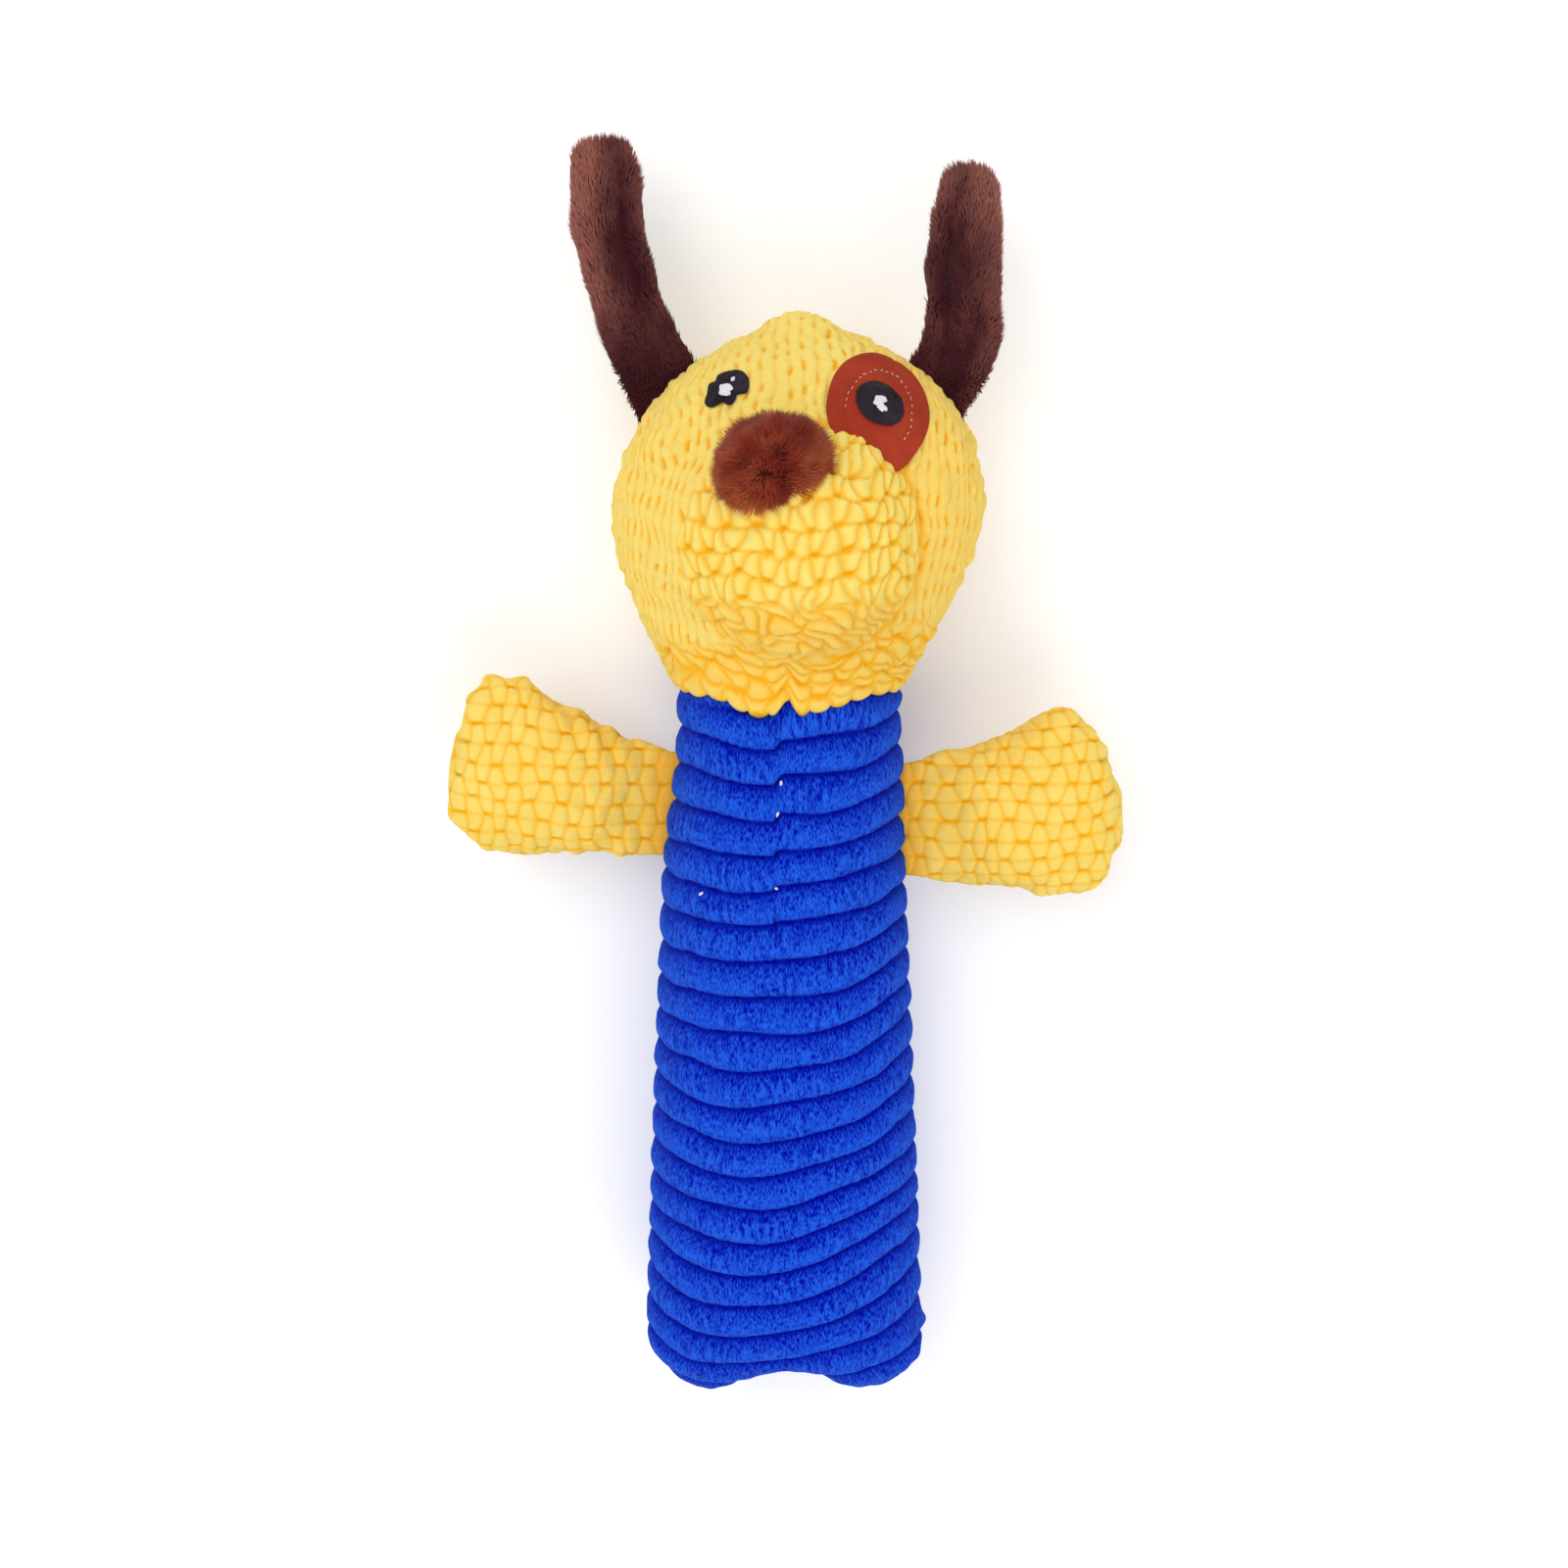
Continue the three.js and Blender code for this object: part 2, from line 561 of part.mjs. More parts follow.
// Everything in front of the sheet that runs along the middle of a drooping ear.
function earFrontSide(ear) {
  const curve = earCurve(ear);
  const steps = [-CUT_OVERRUN, ...EAR_ALONG_SHARES, CUT_OVERRUN];
  const outline = steps.map((share) => {
    const point = curve.getPointAt(THREE.MathUtils.clamp(share, 0, 1));
    const past = Math.abs(share) === CUT_OVERRUN ? share : 0;
    return new THREE.Vector2(point.y + past, point.z);
  });
  const shape = new THREE.Shape(outline);
  shape.lineTo(outline.at(-1).x, CUT_OVERRUN);
  shape.lineTo(outline[0].x, CUT_OVERRUN);
  const slab = new THREE.ExtrudeGeometry(shape, { depth: CUT_OVERRUN * 2, bevelEnabled: false });
  slab.rotateX(Math.PI / 2).rotateZ(Math.PI / 2);
  return slab.translate(-CUT_OVERRUN, 0, 0);
}

// The place of an arm's root on the side of the body, and the line of the seam there.
function armRoot(arm) {
  const at = (belowNeck) => {
    return new THREE.Vector3(arm.side * bodyHalfWidth(belowNeck), -belowNeck, bodyAxisHeight);
  };
  const upper = at(arm.belowNeck - ARM_ROOT_HALF_HEIGHT);
  const lower = at(arm.belowNeck + ARM_ROOT_HALF_HEIGHT);
  const middle = upper.clone().lerp(lower, 0.5);
  return { middle, along: upper.sub(lower).normalize() };
}

// An arm, shrunk all round by the inset.
function armForm(arm, inset) {
  const root = armRoot(arm);
  const length = ARM_LENGTH - inset * 2;
  const out = new THREE.Vector3(root.along.y, -root.along.x, 0).multiplyScalar(arm.side);
  const armRing = (along, rise, drop, halfThickness) => {
    const centre = root.middle.clone().addScaledVector(out, along);
    centre.addScaledVector(root.along, (rise - drop) / 2);
    const wide = root.along.clone().multiplyScalar((rise + drop) / 2 - inset);
    return ring(centre, wide, new THREE.Vector3(0, 0, halfThickness - inset), LIMB_RING_POINTS);
  };
  const rings = [];
  if (inset === 0) {
    for (const deg of ROOT_ROUND_DEGS) {
      const back = ARM_ROOT_RADIUS * Math.cos(degrees(deg));
      const half = ARM_ROOT_RADIUS * Math.sin(degrees(deg));
      rings.push(armRing(-back, ARM_ROOT_HALF_HEIGHT, ARM_ROOT_HALF_HEIGHT, half));
    }
  }
  ARM_ALONG_SHARES.forEach((share, i) => {
    const halfThickness = ARM_HALF_THICKNESS * ARM_THICKNESS_SHARES[i];
    if (halfThickness - inset < LEAST_HALF_SIZE) return;
    const towards = (paw) => ARM_ROOT_HALF_HEIGHT + (paw - ARM_ROOT_HALF_HEIGHT) * ARM_SPREAD_SHARES[i];
    const closing = ARM_CLOSING_SHARES[i];
    const [rise, drop] = [towards(arm.pawRise) * closing, towards(arm.pawDrop) * closing];
    rings.push(armRing(inset + length * share, rise, drop, halfThickness));
  });
  rings.push([root.middle.clone().addScaledVector(out, inset + length)]);
  return solid(loft(rings));
}

// A round channel along a root seam, in which the root of an ear or arm turns.
function rootChannel({ middle, along }, halfLength, rootRadius) {
  const radius = rootRadius + SEAM_GAP;
  const length = (halfLength + rootRadius) * 2;
  const channel = new THREE.CylinderGeometry(radius, radius, length, SMALL_LATHE_STEPS);
  const turn = new THREE.Quaternion().setFromUnitVectors(new THREE.Vector3(0, 1, 0), along);
  return solid(channel.applyQuaternion(turn).translate(middle.x, middle.y, middle.z));
}

// A body turned about the squeaker's own line from a profile of radius and height over its underside.
function turned(profile, steps) {
  const lathe = new THREE.LatheGeometry(profile, steps).rotateX(Math.PI / 2);
  return lathe.translate(0, -SQUEAKER_BELOW_NECK, SQUEAKER_BASE_HEIGHT);
}

const bellowsFoot = SQUEAKER_LIP_HEIGHT + SEAM_GAP;
const squeakerTopFoot = bellowsFoot + BELLOWS_HEIGHT + SEAM_GAP;
const squeakerCrown = squeakerTopFoot + SQUEAKER_LIP_HEIGHT + SQUEAKER_CROWN_RISE;
const plugFlangeTop = -SEAM_GAP;
const plugFlangeBottom = plugFlangeTop - REED_PLUG_FLANGE_THICKNESS;
const reedFoot = REED_PLUG_RISE + SEAM_GAP;

function squeakerBase() {
  const hole = REED_PLUG_RADIUS + SEAM_GAP;
  const inner = SQUEAKER_RADIUS - SQUEAKER_WALL;
  return [
    onAxis(hole, 0),
    onAxis(SQUEAKER_RADIUS, 0),
    onAxis(SQUEAKER_RADIUS, SQUEAKER_LIP_HEIGHT),
    onAxis(inner, SQUEAKER_LIP_HEIGHT),
    onAxis(inner, SQUEAKER_WALL),
    onAxis(hole, SQUEAKER_WALL),
    onAxis(hole, 0),
  ];
}

function squeakerBellows() {
  const outer = [];
  for (let i = 0; i <= BELLOWS_FOLDS * 2; i++) {
    const radius = SQUEAKER_RADIUS - (i % 2) * BELLOWS_FOLD_DEPTH;
    outer.push(onAxis(radius, bellowsFoot + (BELLOWS_HEIGHT * i) / (BELLOWS_FOLDS * 2)));
  }
  const inner = outer.map((point) => onAxis(point.x - BELLOWS_WALL, point.y)).reverse();
  return [...outer, ...inner, outer[0].clone()];
}

function squeakerTop() {
  const inner = SQUEAKER_RADIUS - SQUEAKER_WALL;
  const shoulder = squeakerTopFoot + SQUEAKER_LIP_HEIGHT;
  return [
    onAxis(0, squeakerCrown - SQUEAKER_WALL),
    onAxis(inner, shoulder - SQUEAKER_WALL),
    onAxis(inner, squeakerTopFoot),
    onAxis(SQUEAKER_RADIUS, squeakerTopFoot),
    onAxis(SQUEAKER_RADIUS, shoulder),
    onAxis(0, squeakerCrown),
  ];
}

function reedPlug() {
  return [
    onAxis(REED_PLUG_BORE_RADIUS, plugFlangeBottom),
    onAxis(REED_PLUG_FLANGE_RADIUS, plugFlangeBottom),
    onAxis(REED_PLUG_FLANGE_RADIUS, plugFlangeTop),
    onAxis(REED_PLUG_RADIUS, plugFlangeTop),
    onAxis(REED_PLUG_RADIUS, REED_PLUG_RISE),
    onAxis(REED_PLUG_BORE_RADIUS, REED_PLUG_RISE),
    onAxis(REED_PLUG_BORE_RADIUS, plugFlangeBottom),
  ];
}

function reedCap() {
  const inner = REED_PLUG_RADIUS + SEAM_GAP;
  const outer = inner + REED_CAP_WALL;
  const lid = reedFoot + REED_THICKNESS + SEAM_GAP;
  const foot = REED_PLUG_RISE - REED_CAP_SKIRT;
  return [
    onAxis(inner, foot),
    onAxis(outer, foot),
    onAxis(outer, lid + REED_CAP_WALL),
    onAxis(REED_PLUG_BORE_RADIUS, lid + REED_CAP_WALL),
    onAxis(REED_PLUG_BORE_RADIUS, lid),
    onAxis(inner, lid),
    onAxis(inner, foot),
  ];
}

function reed() {
  const tip = REED_PLUG_BORE_RADIUS - REED_TIP_CLEARANCE;
  const root = REED_PLUG_BORE_RADIUS + REED_ROOT_OVERLAP;
  const tongue = new THREE.BoxGeometry(tip + root, REED_WIDTH, REED_THICKNESS);
  const height = SQUEAKER_BASE_HEIGHT + reedFoot + REED_THICKNESS / 2;
  return tongue.translate((tip - root) / 2, -SQUEAKER_BELOW_NECK, height);
}

function squeakerPocket() {
  const radius = SQUEAKER_RADIUS + SEAM_GAP;
  const [foot, roof] = [plugFlangeBottom - SEAM_GAP, squeakerCrown + SEAM_GAP];
  const pocket = [onAxis(0, foot), onAxis(radius, foot), onAxis(radius, roof), onAxis(0, roof)];
  return solid(turned(pocket, LATHE_STEPS));
}

function bodyPieces() {
  const cavity = bodyForm(BODY_COVER_THICKNESS, false);
  let cover = bodyForm(0, true).subtract(cavity);
  for (const arm of ARMS) {
    cover = cover.subtract(rootChannel(armRoot(arm), ARM_ROOT_HALF_HEIGHT, ARM_ROOT_RADIUS));
  }
  const fill = bodyForm(BODY_COVER_THICKNESS + SEAM_GAP, false).subtract(squeakerPocket());
  return [
    mesh("body_front_panel", frontOf(cover, bodyAxisHeight), "ribbedPlush"),
    mesh("body_back_panel", backOf(cover, bodyAxisHeight), "ribbedPlush"),
    mesh("body_stuffing_front", frontOf(fill, bodyAxisHeight), "fill"),
    mesh("body_stuffing_back", backOf(fill, bodyAxisHeight), "fill"),
  ];
}

function squeakerPieces() {
  return [
    mesh("squeaker_base", turned(squeakerBase(), LATHE_STEPS), "squeakerPlastic"),
    mesh("squeaker_bellows", turned(squeakerBellows(), LATHE_STEPS), "squeakerPlastic"),
    mesh("squeaker_top", turned(squeakerTop(), LATHE_STEPS), "squeakerPlastic"),
    mesh("squeaker_reed_plug", turned(reedPlug(), SMALL_LATHE_STEPS), "squeakerPlastic"),
    mesh("squeaker_reed_cap", turned(reedCap(), SMALL_LATHE_STEPS), "squeakerPlastic"),
    mesh("squeaker_reed", reed(), "reedMetal"),
  ];
}

function headPieces() {
  const outer = headForm(0);
  const socket = headSocket();
  let cover = outer.subtract(headForm(HEAD_COVER_THICKNESS)).subtract(socket);
  for (const ear of EARS) {
    cover = cover.subtract(rootChannel(earRoot(ear), ear.halfWidth, EAR_ROOT_RADIUS));
  }
  const fill = headForm(HEAD_COVER_THICKNESS + SEAM_GAP).subtract(socket);
  return [
    mesh("head_face_panel", frontOf(cover, headMiddleHeight), "knit"),
    mesh("head_back_panel", backOf(cover, headMiddleHeight), "knit"),
    mesh("head_stuffing", fill, "fill"),
  ];
}

function muzzlePieces() {
  const face = headForm(-SEAM_GAP);
  const cover = muzzleForm(0).subtract(muzzleForm(MUZZLE_COVER_THICKNESS)).subtract(face);
  const fill = muzzleForm(MUZZLE_COVER_THICKNESS + SEAM_GAP).subtract(face);
  const under = muzzleForm(-SEAM_GAP);
  const nose = noseForm(0).subtract(noseForm(NOSE_COVER_THICKNESS)).subtract(under);
  const noseFill = noseForm(NOSE_COVER_THICKNESS + SEAM_GAP).subtract(under);
  return [
    mesh("muzzle_panel", cover, "knit"),
    mesh("muzzle_stuffing", fill, "fill"),
    mesh("nose_cover", nose, "noseFur"),
    mesh("nose_stuffing", noseFill, "fill"),
  ];
}

function eyePieces() {
  const patch = {
    across: PATCH_ACROSS,
    aboveNeck: PATCH_ABOVE_NECK,
    halfWidth: PATCH_HALF_WIDTH,
    halfHeight: PATCH_HALF_HEIGHT,
    turnDeg: PATCH_TURN_DEG,
  };
  const pieces = [mesh("eye_patch", onFace(patch, SEAM_GAP, PATCH_THICKNESS), "patchFelt")];
  for (const eye of EYES) {
    const lift = eye.onPatch ? SEAM_GAP + PATCH_THICKNESS + SEAM_GAP : SEAM_GAP;
    const glint = {
      across: eye.across + eye.halfWidth * GLINT_ACROSS_SHARE,
      aboveNeck: eye.aboveNeck + eye.halfHeight * GLINT_UP_SHARE,
      halfWidth: GLINT_RADIUS,
      halfHeight: GLINT_RADIUS,
      turnDeg: 0,
    };
    const glintLift = lift + EYE_THICKNESS + SEAM_GAP;
    pieces.push(mesh(eye.name, onFace(eye, lift, EYE_THICKNESS), "eyeThread"));
    pieces.push(mesh(`${eye.name}_glint`, onFace(glint, glintLift, GLINT_THICKNESS), "glintThread"));
  }
  return pieces;
}

function earPieces(ear) {
  const form = earForm(ear);
  const front = earFrontSide(ear);
  const lifted = solid(front.clone().translate(0, 0, SEAM_GAP / 2));
  const lowered = solid(front.clone().translate(0, 0, -SEAM_GAP / 2));
  return [
    mesh(`${ear.name}_front`, form.intersect(lifted), "earFur"),
    mesh(`${ear.name}_back`, form.subtract(lowered), "earFur"),
  ];
}

function armPieces(arm) {
  const cover = armForm(arm, 0).subtract(armForm(arm, ARM_COVER_THICKNESS));
  const fill = armForm(arm, ARM_COVER_THICKNESS + SEAM_GAP);
  return [
    mesh(`${arm.name}_front`, frontOf(cover, bodyAxisHeight), "knit"),
    mesh(`${arm.name}_back`, backOf(cover, bodyAxisHeight), "knit"),
    mesh(`${arm.name}_stuffing`, fill, "fill"),
  ];
}

// Where each moving piece turns or slides, in the toy's own frame.
function pivots(shift) {
  const listed = { neck: { at: new THREE.Vector3(0, 0, bodyAxisHeight) } };
  for (const ear of EARS) listed[ear.name] = { at: earRoot(ear).middle, axis: earRoot(ear).along };
  for (const arm of ARMS) listed[arm.name] = { at: armRoot(arm).middle, axis: armRoot(arm).along };
  const foot = SQUEAKER_BASE_HEIGHT + bellowsFoot;
  listed.squeaker_bellows_foot = { at: new THREE.Vector3(0, -SQUEAKER_BELOW_NECK, foot) };
  for (const pivot of Object.values(listed)) pivot.at.add(shift);
  return listed;
}

const group = new THREE.Group();
group.add(...bodyPieces(), ...squeakerPieces(), ...headPieces(), ...muzzlePieces(), ...eyePieces());
for (const ear of EARS) group.add(...earPieces(ear));
for (const arm of ARMS) group.add(...armPieces(arm));

// The origin is on the ground under the middle of the toy's outline.
const middle = new THREE.Box3().setFromObject(group).getCenter(new THREE.Vector3());
group.position.set(-middle.x, -middle.y, 0);
group.userData.pivots = pivots(group.position);

export default group;
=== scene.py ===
# A squeaky plush dog toy that lies on its back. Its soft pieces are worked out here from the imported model's
# own form. Sizes are in millimetres from the middle of the neck, with heights over the ground.
import json
import math
from functools import partial
import bpy
import numpy as np
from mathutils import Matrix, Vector


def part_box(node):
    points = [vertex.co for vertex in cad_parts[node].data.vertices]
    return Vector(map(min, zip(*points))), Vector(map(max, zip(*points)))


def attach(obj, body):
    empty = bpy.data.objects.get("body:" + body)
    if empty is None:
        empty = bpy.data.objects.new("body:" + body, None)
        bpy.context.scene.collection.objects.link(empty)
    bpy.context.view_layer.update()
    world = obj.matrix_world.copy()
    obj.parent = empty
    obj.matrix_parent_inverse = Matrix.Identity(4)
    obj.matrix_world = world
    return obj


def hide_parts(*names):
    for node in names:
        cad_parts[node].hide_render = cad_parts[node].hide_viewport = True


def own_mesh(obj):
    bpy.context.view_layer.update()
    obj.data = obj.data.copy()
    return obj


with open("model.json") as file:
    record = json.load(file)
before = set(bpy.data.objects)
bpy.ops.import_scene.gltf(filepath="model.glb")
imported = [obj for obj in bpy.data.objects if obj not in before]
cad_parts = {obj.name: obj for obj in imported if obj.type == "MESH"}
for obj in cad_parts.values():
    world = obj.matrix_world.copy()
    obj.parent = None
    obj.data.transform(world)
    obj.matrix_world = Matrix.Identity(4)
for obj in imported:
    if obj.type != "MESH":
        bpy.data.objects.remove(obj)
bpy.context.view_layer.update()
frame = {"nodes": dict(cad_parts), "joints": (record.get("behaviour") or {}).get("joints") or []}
bpy.ops.object.select_all(action="DESELECT")

MM = 0.001
JOINTS = {joint["name"]: joint for joint in frame["joints"]}
NECK = np.array(JOINTS["head_nod"]["pos_m"])
AXIS_HEIGHT = NECK[2] / MM
NECK_ON_GROUND = np.array([NECK[0], NECK[1], 0])

# Camera
CAMERA_DISTANCE = 600
CAMERA_TILT = math.radians(12)
CAMERA_AIM = (0, -12.5, 31)
CAMERA_LENS = 53.3
CAMERA_SENSOR = 36

# Body tube
BODY_LENGTH = 180.5
NECK_RADIUS = 29.3
BODY_HALF_DEPTH = 30.5
BODY_WIDENING_SHARE = 0.8
HEM_HALF_WIDTH = 37.6
HEM_CORNER_RADIUS = 17
HEM_TAPER_LENGTH = 34
HEM_SEAM_THICKNESS = 3
HEM_LIFT = 9.2
HEM_LIFT_HALF_WIDTH = 24
DOME_RADIUS = 31.2  # of the round top of the body, inside the head
DOME_FOOT = 11  # height above the neck at which the tube turns into it
BODY_COLUMNS = 360
BODY_ROWS = 430
DOME_ROWS = 10
BODY_PRESSED = (0.35, 7)  # as pressed() takes it
PLUSH_LUMPS = [(0.12, 5, 5)]  # height, length and seed of waves
RIB_PITCH = 9.3
RIB_RELIEF = 2.2
RIB_LEAN = 1.25  # above 1, a fold is fuller low down
RIB_ROUNDNESS = 0.65
RIB_LEAST_FULLNESS = 0.86
RIB_FULLNESS_RANGE = 0.28
RIB_START = 4.5  # height above the neck of the first fold
RIB_WANDER = [(0.7, 45, 1), (0.25, 16, 2)]
RIB_SAG = 6.5  # at the hem
RIB_SAG_START = 85
RIB_SAG_MIDDLE = -6
RIB_SAG_HALF_WIDTH = 36
SEAM_TOP = 8  # of the seam down the middle of the chest
SEAM_FOOT = -58
SEAM_ACROSS = (-1.2, -2.6)  # at its two ends
SEAM_HALF_WIDTH = 1.3
SEAM_DEPTH = 0.9
SEAM_RIB_STEP = 2.6
RIB_SHIFT_PLACES = [-161.7, -134.7, -116, -97.5, -79.2, -61.2, -40.9, -23.4, -6.1, 13.4]
RIB_SHIFTS = [  # how much further up the folds lie there: at the left, in the middle and at the right
    (3.4, 7.2, 7.2), (2.2, 2.9, 7.2), (-0.5, 1.2, 5), (-1, -1.9, 2.6), (0.7, -1.9, 1), (1.2, -1.7, 1),
    (2.4, -0.5, 1.9), (2.6, 0, 1.2), (2.2, -0.5, 1.2), (1.2, 0, 1.7),
]
RIB_SHIFT_HALF_WIDTH = 21.6
RIB_LEFT_FALL = 4.8  # how much lower the ribs lie at the left, on the chest
RIB_LEFT_SPAN = (-118, -45)
RIB_RIGHT_RISE = 2.4  # and higher at the right, on the belly
RIB_RIGHT_MIDDLE = -75
RIB_RIGHT_HALF_LENGTH = 30
CHEST_HALF_WIDTH = 34
CHEST_CURVE = 1.3
HEM_NUB = (37.6, -161, 2, 1)  # a knot of thread at the right: across, up, radius, height

# Head and muzzle
RIM_ABOVE_NECK = NECK_RADIUS * math.sin(math.radians(21))
HEAD_LENGTH = 96.3
HEAD_HALF_WIDTH = 46.3
HEAD_HALF_DEPTH = 38
HEAD_MIDDLE_HEIGHT = 37.5
HEAD_SIDE_SHIFT = 3.2
HEAD_WIDEST_SHARE = 0.5
HEAD_LENGTH_SHARES = [0, 0.08, 0.19, 0.29, 0.4, 0.5, 0.6, 0.68, 0.76, 0.83, 0.9, 0.95, 0.985, 1]
HEAD_SPREAD_SHARES = [0, 0.15, 0.47, 0.69, 0.91, 1, 0.97, 0.92, 0.825, 0.69, 0.495, 0.275, 0.12, 0]
HEAD_LEAN_SHARES = [0, 0.42, 0.5, 0.6, 0.73, 0.85, 0.95, 1]
HEAD_LEANS = [0, 0, 0.3, 0.7, 1.5, 1.2, 1.2, 0.8]
HEAD_COLUMNS = 560
HEAD_ROWS = 310
HEAD_PRESSED = (0.4, 8)
SOCKET_RADIUS = 31.7
SOCKET_ROWS = 10
SOCKET_CLEARANCE = 0.5  # of the outer cloth from the socket
RIM_HALF_WIDTH = 29.2
RIM_ROUNDING = 4.5
RIM_HEIGHT = 12.1  # above the neck, of the ragged edge
RIM_SIDE_RISE = 2.6
NECK_SHIFT = 1.3  # of the neck towards the right
NECK_SLIMMING = 0.4
HEM_SHIFT = 1.2
MUZZLE_HALF = np.array([28.5, 28.5, 30])
MUZZLE_MIDDLE = np.array([4.2, RIM_ABOVE_NECK + 43, HEAD_MIDDLE_HEIGHT + 23])
MUZZLE_ROOT = np.array([4.2, RIM_ABOVE_NECK + 43, 45])  # the bulge swells away from here
MUZZLE_BLEND_DEGS = [-180, -150, -120, -90, -60, -30, 0, 45, 90, 120, 180]
MUZZLE_BLENDS = [14, 11, 9, 7, 4.5, 2.5, 1.5, 1.5, 5, 9, 14]
MUZZLE_SWELL = 0.075  # how much further it reaches towards the patch
MUZZLE_SWELL_DEG = 52
HEAD_FRONT_CROWDING = 0.3  # how much closer the head's columns stand at its front
RIM_SCALLOPS = 30
RIM_SCALLOP_DEPTH = 1.1
RIM_SCALLOP_ROUNDNESS = 0.6
RIM_WAVE = 0.8
RIM_LOBES = [(-0.7, 2.2, 3.4), (-10, 4, -0.6)]  # place across, half width and rise of the uneven places

# Knit
KNITS = {  # as knit() takes them
    "arm": dict(period=7.6, row_height=4.95, taper=0.015, side_share=0.28, side_line=0.3, line_width=0.36,
                dash=0.8, corner=0.2),
    "face": dict(period=6.3, row_height=3.3, seed=55, side_share=0.08, row_share=0.3, radius=1.5,
                 side_line=0.03, row_line=0.04, line_width=0.6, dash=0.55, dash_size=(1.4, 0.55), drift=0.06,
                 uneven=0.8),
    "muzzle": dict(period=6.9, row_height=6.5, seed=56, slant=0.11, taper=0.05, side_share=0.5,
                   row_share=0.45, radius=2, side_line=0.22, row_line=0.24, line_width=0.7, dash=0.45,
                   dash_size=(0.85, 0.85), stagger=0, drift=0.17, arch=0.9),
    "chin": dict(period=11.6, row_height=4.1, seed=57, slant=0.1, taper=0.03, side_share=0.45, row_share=0.5,
                 radius=1.9, side_line=0.24, row_line=0.28, line_width=0.65, dash=0.4, dash_size=(1, 0.8),
                 arch=0.8, uneven=0.6),
}
CHIN_TOP = 30  # height above the neck where the face's rows begin
FACE_RELIEF = 1.4
MUZZLE_RELIEF = 1.9
CHIN_RELIEF = 1.8
HEAD_WARPS = [(1.1, 19, 51), (0.5, 8, 52)], [(0.9, 19, 53), (0.4, 8, 54)]  # along its rows and across
BLOB_WIDTH = 5.8  # of the squashed loops low on the muzzle
BLOB_HEIGHT = 4
CREASE_HALF_WIDTH = 1.3  # round the foot of the muzzle
CREASE_DEPTH = 0.5

# Painted shade on the yarn: how much deeper its colour is, as in a groove, and how much warm shade it gets
FACE_GROOVE_SHADE_SHARE = 0.9  # share of their depth that shows
ARM_GROOVE_SHADE = 0.21
CHIN_GROOVE_SHADE = 0.23
MUZZLE_GROOVE_SHADE = 0.1
CREASE_GROOVE_SHADE = 0.6
ARM_SHADE = 0.06
ARM_MIDDLE_SHADE = 0.13
ARM_ROOT_SHADE = 0.7
FACE_SHADE = 0.12
CHEEK_RIGHT_SHADE = 0.22
CHEEK_LEFT_SHADE = 0.08
MUZZLE_FOOT_SHADE = 0.45
CHIN_SHADE = 0.3

# Nose
NOSE_HALF = np.array([13, 11.6, 9])
NOSE_LEAN_UP = math.radians(43)
NOSE_LEAN_LEFT = math.radians(18)
NOSE_EDGE = {  # uneven outlines, as a reach for each angle in degrees
    -180: 0.97, -150: 1.05, -125: 1.12, -103: 1.08, -88: 1.05, -74: 0.84, -50: 0.85, -25: 0.94, 0: 0.97,
    30: 1.02, 60: 1.05, 90: 1.05, 120: 1.13, 150: 1.07, 180: 0.97,
}
NOSE_STRANDS = 18500
NOSE_FUR_DEPTH = 2.8
NOSE_FUR_LENGTH = 3.9
NOSE_TONE = 0.2  # from 0 for dark strands to 1 for light ones
NOSE_FUR_WAYS = (0.6, 0.55, 0.5, 0.15, 0.2)  # how much it lies out, from its middle, up, round and in tufts
NOSE_EDGE_LIGHT_FROM = 0.62  # share of its half width
NOSE_STRAND_THICKNESS = 0.32
NOSE_LEVELS = 41
NOSE_COLUMNS = 64

# Eyes and patch
PATCH = {"across": 22.4, "up": 84.5, "half_width": 11.8, "half_height": 13.5, "turn": 0}
PATCH_THICKNESS = 1.3
PATCH_LUMP_HEIGHT = 0.15
PATCH_SEWN_DEPTH = 0.3
PATCH_SEWN_HALF_WIDTH = 0.05
PATCH_EDGE = {  # with a blunt point low on its right
    -180: 1.06, -150: 0.98, -110: 0.86, -88: 0.95, -68: 1.08, -50: 1.04, -4: 1.05, 24: 0.99, 66: 0.92,
    103: 1, 136: 1.08, 166: 1.07, 180: 1.06,
}
ON_FACE_LIFT = 0.2  # of what lies on the face
PATCH_GRID = (144, 40)  # columns and rings
EYE_GRID = (160, 34)
GLINT_GRID = (60, 14)
EYE_THICKNESS = 0.7
EYE_CROWN = 0.7
GLINT_THICKNESS = 0.6
GLINT_CROWN = 0.5
SATIN_PITCH = 0.62
SATIN_HEIGHT = 0.13
EYE_LUMP_HEIGHT = 0.22
EYE_LEFT_LIFT = 0.1
EYE_STITCH_DEGS = (55, 20)  # right and left
GLINT_PITCH = 0.7
GLINT_SATIN_HEIGHT = 0.1
STITCH_THICKNESS = 0.26
STITCH_LIFT = 0.12
STITCH_REACH = 0.68
STITCH_FROM_DEG = -45
STITCH_TO_DEG = 170
STITCH_STEP_SHARE = 0.17
EYE_RIGHT = {"across": 22.6, "up": 86.3, "half_width": 6.2, "half_height": 4.5, "turn": -32}
EYE_LEFT = {"across": -13.6, "up": 89.4, "half_width": 1, "half_height": 1, "turn": 0}
EYE_LEFT_EDGE = {
    -180: 4.6, -168: 4.8, -144: 6.2, -128: 5.2, -119: 3.9, -76: 3.6, -52: 3.2, -20: 3.2, -7: 4.9, 0: 5.2,
    28: 5.8, 50: 5.5, 67: 4.8, 92: 4, 126: 3.8, 150: 3.4, 166: 4.4, 180: 4.6,
}
